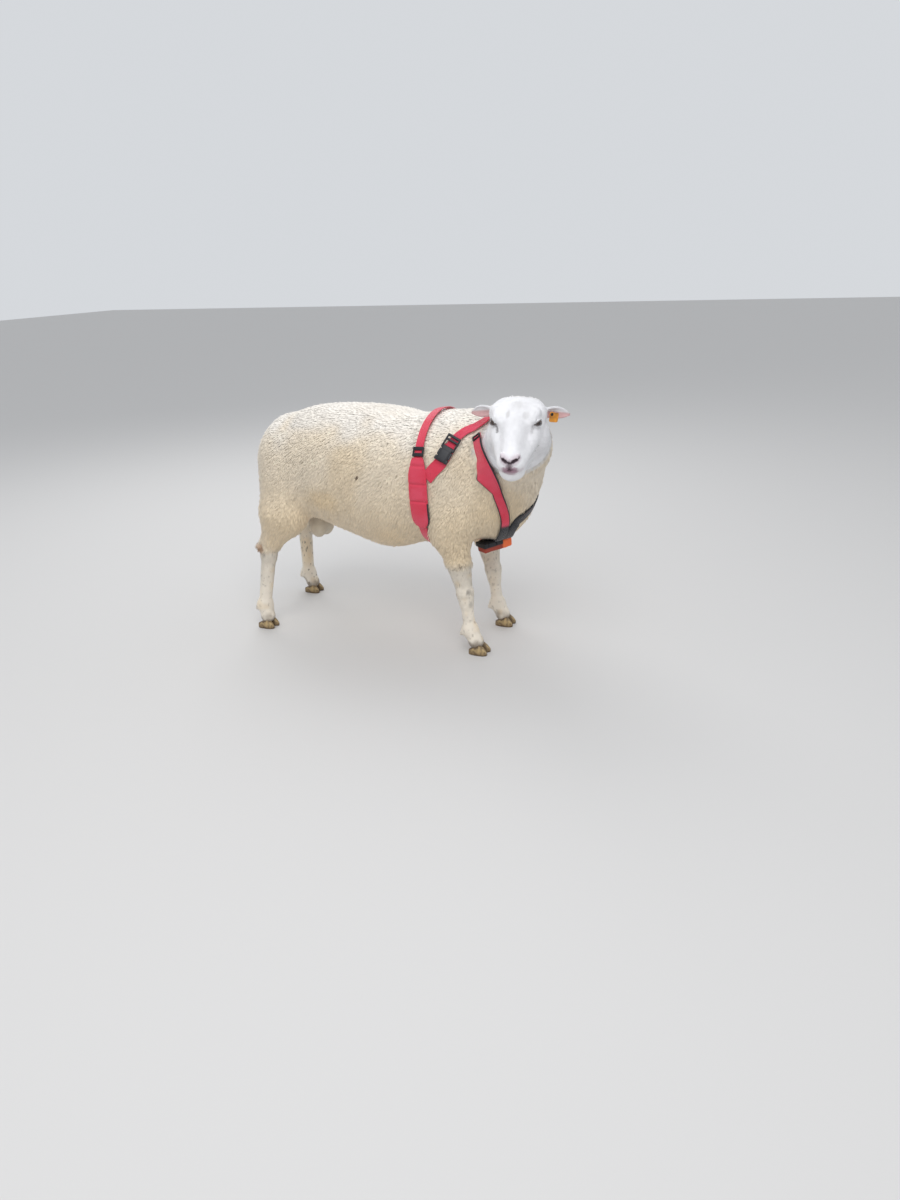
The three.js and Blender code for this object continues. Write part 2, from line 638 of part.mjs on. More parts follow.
// A place along the left ear, with the ear's own directions: out along it, out of its opening and
// down across it.
const earPlace = (t) => {
  const root = new THREE.Vector3(...EAR.root);
  const tip = new THREE.Vector3(...EAR.tip);
  const axis = tip.clone().sub(root).normalize();
  const open = new THREE.Vector3(0.86, 0.25, 0.42);
  open.addScaledVector(axis, -open.dot(axis)).normalize();
  const drop = open.clone().cross(axis).negate();
  return { axis, open, drop, at: root.lerp(tip, t) };
};

// The left ear's rings of points, from its root to its tip. grow thickens it.
const earRings = (grow) => {
  const rings = [];
  for (let i = 0; i <= 7; i++) {
    const t = i / 7;
    const wide = EAR.width * (0.62 + 0.9 * t - 1.5 * t ** 3.2) + 2 * grow;
    const bend = (80 - 38 * t) * DEG;
    const radius = wide / 2 / Math.sin(bend);
    const { at, open, drop } = earPlace(i ? t : -grow / 40);
    const middle = at.addScaledVector(drop, -4 * Math.sin(Math.PI * t))
      .addScaledVector(open, radius * Math.cos(bend));
    const thick = EAR.thick * (1 - 0.55 * t) + 2 * grow;
    const arc = (r, turn) => middle.clone()
      .addScaledVector(open, -r * Math.cos(turn)).addScaledVector(drop, r * Math.sin(turn)).toArray();
    const ring = [];
    for (let k = -3; k <= 3; k++) ring.push(arc(radius, (bend * k) / 3));
    for (let k = 2; k >= -2; k--) ring.push(arc(radius - thick, (bend * k) / 2.4));
    rings.push(ring);
  }
  return rings;
};
const ear = (side, grow = 0) =>
  loft(earRings(grow).map((ring) => ring.map((p) => fromHead(sided(p, side)))));

// The plate that hangs in the left ear, with the head of the stud that holds it.
const tag = () => {
  const { axis, open, drop, at } = earPlace(TAG.along);
  const frame = new THREE.Matrix4().makeBasis(drop, axis, open)
    .setPosition(at.addScaledVector(drop, TAG.drop).addScaledVector(open, TAG.ahead));
  const place = headFrame.clone().multiply(frame);
  const [tall, long, thick] = TAG.size.map((v) => v / 2);
  const [down, out, radius, height] = TAG.stud;
  const stud = new THREE.CylinderGeometry(radius, radius, height, 10).rotateX(90 * DEG)
    .translate(down, out, height / 2).applyMatrix4(place);
  return block([-tall, -long, -thick], [tall, long, thick], place).add(solidFrom(stud));
};

const eyeball = (side, grow = 0) => solidFrom(new THREE.SphereGeometry(EYE.radius + grow, 10, 6)
  .rotateX(90 * DEG).translate(...sided(EYE.at, side)).applyMatrix4(headFrame));

// A claw along x from its heel to its toe: [x, half width, height].
const CLAW_RINGS = [
  [-0.42, 0.5, 0.5], [-0.3, 0.9, 0.62], [0, 1, 0.86], [0.16, 0.98, 0.98], [0.4, 0.78, 0.7],
  [0.58, 0.3, 0.34],
];
const claw = (leg, which, grow = 0) => {
  const [, , , coronet] = placesOf(leg);
  const half = CLAW.wide / 2;
  const rings = CLAW_RINGS.map(([along, broad, tall], i) => {
    const end = i === 0 ? -grow : i === CLAW_RINGS.length - 1 ? grow : 0;
    const [b, h] = [half * broad + grow, CLAW.top * tall + grow];
    const shape = [[-1, 0], [1, 0], [1, 0.3], [0.86, 0.66], [0.5, 0.94], [-0.5, 0.94], [-0.86, 0.66],
      [-1, 0.3]];
    return shape.map(([y, z]) => [along * CLAW.long + end, b * y, z ? z * h : -grow]);
  });
  const away = which * (half + CLAW.apart / 2);
  const frame = new THREE.Matrix4()
    .makeTranslation(leg.hoof, coronet[1] + away, 0)
    .multiply(new THREE.Matrix4().makeRotationZ(which * leg.splay * DEG));
  return loft(rings.map((ring) => ring.map((p) => new THREE.Vector3(...p).applyMatrix4(frame).toArray())));
};
// The plane of the coronets, which slopes down to the heels.
const CORONET_SLOPE = 27 * DEG;
const underCoronet = (leg, grow = 0) => {
  const at = [leg.hoof, placesOf(leg)[3][1], 28];
  return ahead(at, [Math.sin(CORONET_SLOPE), 0, -Math.cos(CORONET_SLOPE)], grow);
};

// ---------------------------------------------------------------------------------------------
// The body and what it wears

const bag = (() => {
  const [x, , z] = SCROTUM.at;
  const half = (side) => ball([x, (side * SCROTUM.apart) / 2, z - 2 * side], SCROTUM.testis);
  const [radius, top] = SCROTUM.neck;
  return join(16, half(LEFT), half(RIGHT), limb([x, 0, top], SCROTUM.at, radius, radius));
})();
const withBag = (p) => smoothUnion(body(p), bag(p), 18);

const trunkMesh = meshShape(body, [-480, -240, 288], [500, 240, 790], [66, 42, 40]);
const neckMesh = meshShape(torso, [330, -215, 340], [660, 190, 800], [46, 42, 42]);
const headMesh = meshShape(torso, [-130, -126, -136], [170, 126, 86], [19.8, 15.8, 17.4], headFrame);
const allLegs = Object.values(LEGS);
const strapsOn = Object.values(harness).map((strap) => strap(GAP));
strapsOn.push(crayon(GAP), holder(GAP));
const earsOn = [ear(LEFT, GAP), ear(RIGHT, GAP)];

add('trunk', without(trunkMesh, [
  ahead(NECK_CUT.at, NECK_CUT.facing, GAP), tailZone(GAP), scrotumZone(GAP),
  ...allLegs.map((leg) => legZone(leg, GAP)), ...strapsOn,
]), WOOL());
add('neck', without(neckMesh.intersect(ahead(NECK_CUT.at, NECK_CUT.facing)), [
  headWedge(GAP), ...earsOn, ...strapsOn,
]), WOOL());
add('head', without(headMesh.intersect(headWedge()), [
  ...earsOn, eyeball(LEFT, GAP), eyeball(RIGHT, GAP), ...strapsOn,
]), HAIR());
add('tail', meshShape(torso, [-500, -40, 510], [-380, 40, 650], [20, 18, 26]).intersect(tailZone(0)), WOOL());
add('scrotum', meshShape(withBag, [-290, -66, 270], [-165, 66, 420], [21, 20, 22])
  .intersect(scrotumZone(0)), paint(0xcdbfb2, 0.85));
for (const [name, leg] of Object.entries(LEGS)) {
  const x = leg.fore ? [200, 470] : [-470, -190];
  const y = leg.side === LEFT ? [14, 240] : [-240, -14];
  const shape = meshShape(body, [x[0], y[0], 4], [x[1], y[1], 440], [20.5, 18.5, 50]);
  add(name, without(shape.intersect(legZone(leg, 0)), [underCoronet(leg, GAP), ...strapsOn]), HAIR());
  add(`claw_${name}_outer`, claw(leg, leg.side).intersect(underCoronet(leg)), HORN());
  add(`claw_${name}_inner`, claw(leg, -leg.side).intersect(underCoronet(leg)), HORN());
}
for (const [hand, side] of [['left', LEFT], ['right', RIGHT]]) {
  add(`ear_${hand}`, ear(side), HAIR());
  add(`eye_${hand}`, eyeball(side), paint(0x241d18, 0.15));
}

const red = { sleeve_right: [], sleeve_left: [], yoke: ['sleeve_right', 'sleeve_left'],
  girth_top: ['sleeve_right', 'sleeve_left'], girth_under: ['sleeve_right', 'sleeve_left'],
  collar_right: ['yoke'], collar_left: ['yoke', 'collar_right'],
  breast_strap: ['collar_right', 'collar_left', 'girth_under'] };
for (const [name, over] of Object.entries(red)) {
  const strap = without(harness[name](0), [
    ...over.map((other) => harness[other](GAP)), crayon(GAP), holder(GAP),
  ]);
  add(`harness_${name}`, strap, RED());
}
for (const [hand, side] of [['left', LEFT], ['right', RIGHT]]) {
  add(`harness_slide_${hand}`, slide(side), BLACK());
  add(`harness_buckle_${hand}`, buckle(side), BLACK());
  add(`harness_ring_${hand}`, ring(hand), BLACK());
}
add('harness_crayon', crayon(), paint(0xe8703a, 0.8));
add('harness_crayon_holder', holder().subtract(crayon(GAP)), BLACK());

add('ear_tag', tag(), paint(0xdf9a35, 0.5));

// The origin is under the middle of the whole.
const extent = new THREE.Box3().setFromObject(root);
root.position.set(-(extent.min.x + extent.max.x) / 2, -(extent.min.y + extent.max.y) / 2, -extent.min.z);
root.updateMatrixWorld(true);

export default root;
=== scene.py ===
"""A life-size ram in its working harness, standing with its head turned to its right.

One skin stands for all the flesh nodes. It is meshed from the same masses as the CAD solids, with
the finer forms of the face, ears and feet added, and lies inside them by the coat's depth. Fleece
and short hair are closed tufts on that skin. The harness, the eyes, the claws and the tag are
pieces of their own.

Lengths are millimetres in the animal's own layout: +X forward, +Y to its left, +Z up, the floor at
Z = 0. Each mesh is moved into the frame, in metres, as it is made.
"""
import json
import math
from itertools import product

import bpy
import numpy as np
from mathutils import Matrix, Vector
from mathutils.bvhtree import BVHTree

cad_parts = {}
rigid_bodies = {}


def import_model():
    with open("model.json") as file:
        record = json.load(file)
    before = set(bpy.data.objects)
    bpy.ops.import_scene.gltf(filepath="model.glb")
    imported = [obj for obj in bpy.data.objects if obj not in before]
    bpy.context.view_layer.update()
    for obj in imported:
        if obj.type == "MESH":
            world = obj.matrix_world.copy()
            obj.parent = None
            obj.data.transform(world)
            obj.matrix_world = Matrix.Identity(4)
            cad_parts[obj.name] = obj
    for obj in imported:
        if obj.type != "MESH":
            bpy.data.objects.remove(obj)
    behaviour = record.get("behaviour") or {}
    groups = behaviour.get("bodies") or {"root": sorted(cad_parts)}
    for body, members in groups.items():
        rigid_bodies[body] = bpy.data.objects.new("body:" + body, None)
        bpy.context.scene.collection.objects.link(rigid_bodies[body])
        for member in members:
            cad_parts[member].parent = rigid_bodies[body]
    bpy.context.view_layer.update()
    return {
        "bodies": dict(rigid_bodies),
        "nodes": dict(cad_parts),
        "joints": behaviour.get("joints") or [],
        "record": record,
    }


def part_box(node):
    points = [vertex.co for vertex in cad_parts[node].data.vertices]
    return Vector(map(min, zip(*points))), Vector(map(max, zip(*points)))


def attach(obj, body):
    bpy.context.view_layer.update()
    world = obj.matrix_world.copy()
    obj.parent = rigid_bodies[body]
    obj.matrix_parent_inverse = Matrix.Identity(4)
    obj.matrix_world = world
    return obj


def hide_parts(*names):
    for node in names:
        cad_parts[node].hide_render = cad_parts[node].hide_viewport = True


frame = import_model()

RIGHT, LEFT = -1, 1
HANDS = (("right", RIGHT), ("left", LEFT))

# ---------------------------------------------------------------------------------------------
# Driving dimensions, as in the CAD

# The trunk's outline at stations along the back: x, top, bottom, half width.
TRUNK_STATIONS = np.array([
    [-290, 716, 404, 146], [-190, 743, 372, 180], [-50, 750, 329, 201], [80, 743, 296, 203],
    [190, 722, 322, 190], [290, 722, 354, 168], [400, 690, 350, 134]], float)
RUMP_ROUNDING, CHEST_ROUNDING = 112, 126
TRUNK_SQUARENESS = 2.35
TAIL = dict(at=(-392, 0, 588), radii=(26, 30, 62))
HEAD_PLACE = np.array([549, -196, 726], float)
HEAD_TURN, HEAD_DROP, HEAD_ROLL = math.radians(-79), math.radians(27), math.radians(-1.5)
EYE_AT = np.array([-8, 55, 15], float)
EAR = dict(root=(-58, 66, 11), tip=(-98, 142, -24), width=40, thick=7)

LEGS = {
    "foreleg_right": dict(fore=True, side=RIGHT, elbow=(312, 122, 400), knee=(354, 126, 190),
                          fetlock=(368, 129, 74), coronet=(390, 135, 38)),
    "foreleg_left": dict(fore=True, side=LEFT, elbow=(318, 116, 400), knee=(358, 113, 190),
                         fetlock=(372, 110, 74), coronet=(391, 108, 38)),
    "hindleg_right": dict(fore=False, side=RIGHT, elbow=(-284, 142, 400), knee=(-348, 152, 272),
                          fetlock=(-382, 160, 80), coronet=(-372, 165, 40)),
    "hindleg_left": dict(fore=False, side=LEFT, elbow=(-318, 146, 400), knee=(-402, 166, 268),
                         fetlock=(-418, 180, 78), coronet=(-406, 184, 38)),
}
SCROTUM = dict(at=(-226, 0, 342), testis=(34, 29, 51), apart=46, neck=(34, 400))

# ---------------------------------------------------------------------------------------------
# The coat

FLEECE_DEPTH = 11.0  # from the skin to the tips
HAIR_DEPTH = 2.6  # the same on the face and the lower legs
BARE_DEPTH = 1.0

# ---------------------------------------------------------------------------------------------
# The head's own axes, and the way from the layout to the frame


def turned(axis, angle):
    return np.array(Matrix.Rotation(angle, 3, axis))


HEAD_AXES = turned("Z", HEAD_TURN) @ turned("Y", HEAD_DROP) @ turned("X", HEAD_ROLL)


def into_head(p):
    return (p - HEAD_PLACE) @ HEAD_AXES


def out_of_head(p):
    return np.asarray(p, float) @ HEAD_AXES.T + HEAD_PLACE


def middle_of(node):
    low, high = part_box(node)
    return np.array((low + high) / 2) * 1000


EYE_RADIUS = max(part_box("eye_left")[1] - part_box("eye_left")[0]) * 500
SHIFT = (middle_of("eye_left") + middle_of("eye_right")) / 2 - out_of_head(EYE_AT * [1, 0, 1])


def to_frame(p):
    return (np.asarray(p, float) + SHIFT) / 1000


def mirrored(p, side):
    return np.asarray(p, float) * [1, side, 1]


def folded(q):
    """Places in the head's axes, all brought to its left side."""
    return np.abs(q * [0, 1, 0]) + q * [1, 0, 1]


# ---------------------------------------------------------------------------------------------
# Implicit shapes: functions of points, negative inside and about a distance outside


def smooth_union(a, b, blend):
    near = np.maximum(blend - np.abs(a - b), 0) / blend
    return np.minimum(a, b) - near * near * blend / 4


def carved(a, b, blend):
    """Shape a with shape b taken out of it."""
    return -smooth_union(-a, b, blend)


def join(blend, *shapes):
    def joined(p):
        found = shapes[0](p)
        for shape in shapes[1:]:
            found = smooth_union(found, shape(p), blend)
        return found
    return joined


def dot(a, b):
    return np.einsum("ij,ij->i", a, b)


def length(v):
    return np.sqrt(dot(v, v))


def unit(v):
    return v / np.maximum(np.linalg.norm(v, axis=-1, keepdims=True), 1e-9)


def flattened(v, out):
    """The part of v that lies square to out."""
    return v - dot(v, out)[:, None] * out


def interpolated(t, known, table):
    """A table's rows at places t between its known places."""
    return np.stack([np.interp(t, known, table[:, k]) for k in range(3)], -1)


def walked_along(points):
    """How far along a line of points each one is."""
    return np.concatenate([[0], np.cumsum(length(np.diff(points, axis=0)))])


def ball(centre, radii):
    centre, radii = np.array(centre, float), np.array(radii, float)

    def shape(p):
        q = (p - centre) / radii
        k0, k1 = length(q), length(q / radii)
        return k0 * (k0 - 1) / np.maximum(k1, 1e-6)
    return shape


def limb(a, b, ra, rb, flat=1.0):
    """A tapering rod with round ends. flat scales its width along y."""
    a, b = np.array(a, float), np.array(b, float)
    d = b - a
    scale = np.array([1, 1 / flat, 1])

    def shape(p):
        t = np.clip((p - a) @ d / (d @ d), 0, 1)
        return length((p - a - t[:, None] * d) * scale) - (ra + (rb - ra) * t)
    return shape


def chain(places, radii, blend=2.0):
    """Rods from place to place."""
    return join(blend, *(limb(a, b, ra, rb) for a, b, ra, rb
                         in zip(places, places[1:], radii, radii[1:])))


def nearby(shape, low, high):
    """A costly shape, worked out only inside a box and far away elsewhere."""
    low, high = np.array(low, float), np.array(high, float)

    def bounded(p):
        out = length(np.maximum(np.maximum(low - p, p - high), 0))
        inside = out == 0
        found = out + 50
        found[inside] = shape(p[inside])
        return found
    return bounded


def step_up(x, low, high):
    """0 below low, 1 above high, smooth between them."""
    t = np.clip((x - low) / (high - low), 0, 1)
    return t * t * (3 - 2 * t)


# ---------------------------------------------------------------------------------------------
# The animal's masses


def barrel(p):
    rows = TRUNK_STATIONS
    at = np.clip(p[:, 0], rows[0, 0], rows[-1, 0])
    i = np.clip(np.searchsorted(rows[:, 0], at, side="right") - 1, 0, len(rows) - 2)
    before, start, end, after = (rows[np.clip(i + k, 0, len(rows) - 1)] for k in (-1, 0, 1, 2))
    span = (end[:, 0] - start[:, 0])[:, None]
    t = (at[:, None] - start[:, :1]) / span
    slope_in = (end - before) / (end[:, :1] - before[:, :1]) * span
    slope_out = (after - start) / (after[:, :1] - start[:, :1]) * span
    smooth = ((2 * t**3 - 3 * t**2 + 1) * start + (t**3 - 2 * t**2 + t) * slope_in
              + (3 * t**2 - 2 * t**3) * end + (t**3 - t**2) * slope_out)
    top, bottom, half = smooth[:, 1], smooth[:, 2], smooth[:, 3]
    middle = (top + bottom) / 2
    n = TRUNK_SQUARENESS
    across = np.abs(p[:, 1]) / half
    up = np.abs(p[:, 2] - middle) * 2 / (top - bottom)
    beyond = p[:, 0] - at
    along = beyond / np.where(beyond < 0, RUMP_ROUNDING, CHEST_ROUNDING)
    round_ = np.sqrt((across**n + up**n) ** (2 / n) + along**2)
    away = np.sqrt(beyond**2 + p[:, 1] ** 2 + (p[:, 2] - middle) ** 2)
    return away * (1 - 1 / np.maximum(round_, 1e-6))


def between(a, b, t):
    return np.asarray(a, float) * (1 - t) + np.asarray(b, float) * t


def places_of(leg):
    return [mirrored(leg[name], leg["side"]) for name in ("elbow", "knee", "fetlock", "coronet")]


def dewclaw(fetlock, side):
    x, y, z = fetlock
    return limb((x - 15, y + side * 12, z - 2), (x - 26, y + side * 14, z - 13), 9, 6)


def foreleg(leg):
    """Forearm, knee, cannon, fetlock with its dewclaws, and pastern."""
    elbow, knee, fetlock, coronet = places_of(leg)
    under = between(knee, fetlock, 0.25)
    return join(
        14, limb(elbow, between(elbow, knee, 0.92), 60, 28, 0.86),
        ball(knee, (27, 26, 31)), limb(knee, under, 24.5, 22), limb(under, fetlock, 21.5, 21.5),
        ball(fetlock, (26, 27, 24)), limb(fetlock, coronet, 24, 26, 1.08),
        dewclaw(fetlock, RIGHT), dewclaw(fetlock, LEFT))


def hindleg(leg):
    """Gaskin, hock with its point, cannon, fetlock with its dewclaws, and pastern."""
    stifle, hock, fetlock, coronet = places_of(leg)
    heel = hock + [-27, 0, 20]
    return join(
        14, limb(stifle, between(stifle, hock, 0.93), 74, 29, 0.72),
        limb(stifle + [-40, 0, -24], heel, 26, 14),
        ball(hock + [0, 0, -6], (30, 24, 38)), limb(hock, heel, 23, 14),
        limb(hock + [-3, 0, -24], fetlock, 27, 24, 0.86),
        ball(fetlock, (27, 27, 26)), limb(fetlock, coronet, 24, 26, 1.08),
        dewclaw(fetlock, RIGHT), dewclaw(fetlock, LEFT))


def leg_shape(leg):
    shape = foreleg(leg) if leg["fore"] else hindleg(leg)
    middle = places_of(leg)[1]
    return nearby(shape, middle - [170, 130, 400], middle + [150, 130, 300])


def shoulder(side):
    return join(
        60, limb(mirrored((292, 80, 590), side), mirrored((322, 106, 440), side), 92, 76, 0.94),
        limb(mirrored((322, 106, 440), side), mirrored((306, 118, 380), side), 68, 54, 0.88))


def thigh(side):
    return limb(mirrored((-262, 84, 560), side), mirrored((-284, 124, 410), side), 108, 86, 0.86)


neck = join(
    50, limb((300, 0, 566), (430, -4, 618), 150, 128, 0.9),
    limb((418, -4, 470), (446, -10, 540), 84, 96, 0.94),
    limb((430, -4, 618), (520, -88, 660), 126, 100, 0.95),
    ball((500, -80, 626), (80, 84, 86)))

# The left half of the face, which the right half mirrors.
face_masses = join(
    16, ball((-62, 0, -12), (63, 75, 59)),  # cranium
    ball((-28, 0, 6), (60, 62, 42)),  # forehead
    ball((-70, 38, 8), (42, 38, 30)),  # side of the crown
    limb((14, 0, 2), (112, 0, -17), 43, 29, 0.92),  # nose
    limb((0, 32, -28), (106, 15, -34), 40, 25),  # upper jaw
    ball((-36, 50, -56), (58, 42, 54)),  # cheek
    limb((-38, 36, -86), (98, 15, -64), 28, 21),  # lower jaw
    ball((116, 0, -27), (27, 34, 32)),  # muzzle
    ball((110, 0, -64), (29, 32, 23)),  # chin
    limb((-34, 52, 28), (0, 48, 28), 17, 14),  # brow
    limb((-52, 60, 0), (28, 48, -16), 17, 14))  # cheek bone

# ---------------------------------------------------------------------------------------------
# The finer forms of the head

# The eye's opening: the way it faces, the way from its back corner to its front one, half its
# length, and how far each side's lids stand open.
EYE_FACING = unit(np.array([0.50, 0.81, 0.31]))
EYE_CORNERS = np.array([0.90, -0.36, 0.22])
EYE_LONG = unit(EYE_CORNERS - EYE_CORNERS @ EYE_FACING * EYE_FACING)
EYE_UP = np.cross(EYE_FACING, EYE_LONG)
EYE_UP *= np.sign(EYE_UP[2])
EYE_HALF_LENGTH = 13.0
EYE_OPEN = {RIGHT: 7.6, LEFT: 6.2}
LID_THICK = 1.9


def lid_gap(along, openness):
    """Heights of the upper and the lower lid's edge at a place along the eye, from -1 to 1."""
    arch = np.sqrt(np.clip(1 - along**2, 0, 1))
    return openness * arch * (1 - 0.18 * along), -openness * 0.72 * arch * (1 + 0.15 * along)


def eye_opening(p, openness):
    q = p - EYE_AT
    along, up, out = q @ EYE_LONG, q @ EYE_UP, q @ EYE_FACING
    high, low = lid_gap(np.clip(along / EYE_HALF_LENGTH, -1, 1), openness)
    middle, half = (high + low) / 2, (high - low) / 2
    beyond = np.maximum(np.abs(along) - EYE_HALF_LENGTH, 0)
    return np.maximum(np.abs(up - middle) - half + 0.4 + beyond, 6 - out)


NOSTRIL = [(137, 2.8, -6.5), (134.5, 9.5, -5), (129.5, 16.5, -2.5), (121.5, 21.5, -1)]
PHILTRUM = [(139, 0, -6), (142, 0, -15), (142, 0, -26)]
MOUTH = [(141, 0, -27), (136, 13.5, -30), (123, 25, -36), (104, 31.5, -44), (84, 36, -51)]
nostril = chain(NOSTRIL, [2.4, 3.4, 3.5, 2.2])
philtrum = chain(PHILTRUM, [1.4, 1.7, 2.0])
mouth = chain(MOUTH, [2.0, 2.0, 1.8, 1.4, 0.6])


def nose_and_mouth(found, p):
    """The muzzle's openings and lips, cut into the face."""
    lips = join(3, chain([(q[0] - 4.5, q[1] * 0.93, q[2] + 4.2) for q in MOUTH], [6, 6, 5, 3.5, 2]),
                chain([(q[0] - 7, q[1] * 0.9, q[2] - 6) for q in MOUTH], [6.5, 6, 5, 3.5, 2]))
    wings = chain([(131, 6, -3), (125, 17, 1), (114, 23, 2)], [4.5, 5.5, 4.5])
    pad = ball((133, 0, -8), (7.5, 8, 8))
    found = smooth_union(found, lips(p), 5)
    found = smooth_union(found, wings(p), 6)
    found = smooth_union(found, pad(p), 6)
    found = carved(found, nostril(p), 2.6)
    found = carved(found, philtrum(p), 3)
    return carved(found, mouth(p), 3)


def ear_place(t):
    """A place along the left ear's axis, with its directions out, open and down."""
    root, tip = np.array(EAR["root"], float), np.array(EAR["tip"], float)
    axis = unit(tip - root)
    facing = np.array([0.86, 0.25, 0.42])
    facing = unit(facing - facing @ axis * axis)
    return root + (tip - root) * t, axis, facing, -np.cross(facing, axis)


def ear_shape(p):
    """A leaf rolled about its length, open to the front and thinner towards its tip."""
    root, axis, facing, drop = ear_place(0)
    span = np.linalg.norm(np.subtract(EAR["tip"], EAR["root"]))
    q = p - root
    t = q @ axis / span
    at = np.clip(t, 0, 1)
    bend = np.radians(80 - 38 * at)
    wide = np.maximum(EAR["width"] * (0.62 + 0.9 * at - 1.5 * at**3.2) - 1.5, 3)
    radius = wide / 2 / np.sin(bend)
    u = q @ drop + 4 * np.sin(np.pi * at)
    v = q @ facing - radius * np.cos(bend)
    turn = np.arctan2(u, -v)
    rho = np.hypot(u, v)
    thick = EAR["thick"] * (1 - 0.5 * at)
    sheet = np.abs(rho - (radius - thick / 2)) - thick / 2
    edge = radius * (np.abs(turn) - bend)
    ends = np.maximum(t - 1, -t - 0.35) * span
    return np.maximum(-smooth_union(-sheet, -edge, 1.5), ends)


def face(p, side):
    found = face_masses(p) + HAIR_DEPTH
    found = smooth_union(found, ball((-60, 62, 12), (15, 15, 15))(p), 14)  # the ear's base
    found = nose_and_mouth(found, p)
    # Socket and lids, with a fold above the eye and the tear gland's pit before it.
    found = carved(found, ball(EYE_AT + 14 * EYE_FACING, (15, 12, 10))(p), 9)
    eye = length(p - EYE_AT) - EYE_RADIUS
    found = smooth_union(found, eye - LID_THICK, 4)
    fold = [EYE_AT + s * EYE_LONG * 13 + EYE_UP * (12 - 4 * s * s) + EYE_FACING * (12 - 4 * s * s)
            for s in (-1.0, -0.4, 0.3, 1.0)]
    found = carved(found, chain(fold, [0.8, 1.2, 1.2, 0.8])(p), 3)
    front = EYE_AT + EYE_LONG * 15 + EYE_FACING * 7
    found = carved(found, limb(front, front + [13, -3, -5], 1.6, 1.0)(p), 5)
    opening = np.maximum(eye_opening(p, EYE_OPEN[side]), -(eye + 3.5))
    found = carved(found, opening, 1.2)
    return smooth_union(found, ear_shape(p), 7)


def head(p):
    q = into_head(p)
    found = np.empty(len(p))
    for side in (RIGHT, LEFT):
        half = q[:, 1] * side >= (0 if side == LEFT else 1e-12)
        found[half] = face(folded(q[half]), side)
    return found


# The head's farthest places, and a box round them that holds all of its shapes.
head_ends = out_of_head([(146, 0, -30), (100, 0, -88), (-80, 0, 60), (-40, 92, -40), (-40, -92, -40),
                         (-30, 0, -112), (-100, 146, -30), (-100, -146, -30), (-100, 110, 10),
                         (-100, -110, 10)])
HEAD_BOX = head_ends.min(0) - 60, head_ends.max(0) + 60
HEAD_REACH = 230  # from the head's place, past the face and ears


def face_weight(p):
    """1 on the face and 0 on the wool behind the poll, behind the cheeks and under the jaw."""
    q = into_head(p)
    y = np.abs(q[:, 1])
    poll = (q[:, 0] + 108) - 0.1 * q[:, 2]
    cheek = 0.62 * (q[:, 0] + 74) + 0.78 * (92 - y)
    throat = (q[:, 2] + 108) + 0.42 * (q[:, 0] + 40)
    found = step_up(np.minimum(np.minimum(poll, cheek), throat), -16, 14)
    on_ear = 1 - step_up(ear_shape(folded(q)), 1, 6)
    return np.maximum(found, on_ear * (y > 66))


def leg_hair_weight(p):
    """1 on the lower legs, below the wool."""
    fore = step_up(p[:, 0], 90, 160)
    line = 268 * fore + 262 * (1 - fore)
    return 1 - step_up(p[:, 2], line, line + 52)


def scrotum_weight(p):
    return 1 - step_up(ball(SCROTUM["at"], (46, 60, 66))(p), -4, 8)


def groin_weight(p):
    return 1 - step_up(ball((-262, 0, 372), (120, 92, 60))(p), -30, 6)


def wool_weight(p):
    bare = np.maximum(face_weight(p), leg_hair_weight(p))
    bare = np.maximum(bare, np.maximum(scrotum_weight(p), 0.8 * groin_weight(p)))
    return 1 - bare


trunk = join(55, barrel, shoulder(LEFT), shoulder(RIGHT), thigh(LEFT), thigh(RIGHT))
tail = ball(TAIL["at"], TAIL["radii"])
leg_shapes = [leg_shape(leg) for leg in LEGS.values()]
outer_head = nearby(lambda p: face_masses(folded(into_head(p))), *HEAD_BOX)
fine_head = nearby(head, *HEAD_BOX)


def scrotum(p):
    at = np.array(SCROTUM["at"], float)
    half = [ball(at + [0, s * SCROTUM["apart"] / 2, -2 * s], SCROTUM["testis"]) for s in (1, -1)]
    radius, top = SCROTUM["neck"]
    return join(16, *half, limb((at[0], 0, top), at, radius, radius))(p)


def torso(p):
    found = smooth_union(trunk(p), tail(p), 26)
    return smooth_union(found, neck(p), 90)


def legs(p):
    found = leg_shapes[0](p)
    for shape in leg_shapes[1:]:
        found = np.minimum(found, shape(p))
    return found


def coat_surface(p):
    """The outside of the coat, as the CAD has it."""
    return smooth_union(smooth_union(torso(p), outer_head(p), 22), legs(p), 34)


def skin_surface(p):
    """The skin: the coat's outside less its depth, with the finer forms."""
    wool = wool_weight(p)
    body = torso(p) + FLEECE_DEPTH * wool + HAIR_DEPTH * (1 - wool)
    leg = legs(p) + FLEECE_DEPTH * wool + HAIR_DEPTH * (1 - wool)
    found = smooth_union(body, leg, 34)
    found = smooth_union(found, fine_head(p), 16)
    return smooth_union(found, nearby(scrotum, (-320, -110, 230), (-130, 110, 470))(p) + BARE_DEPTH, 18)


# ---------------------------------------------------------------------------------------------
# Meshing


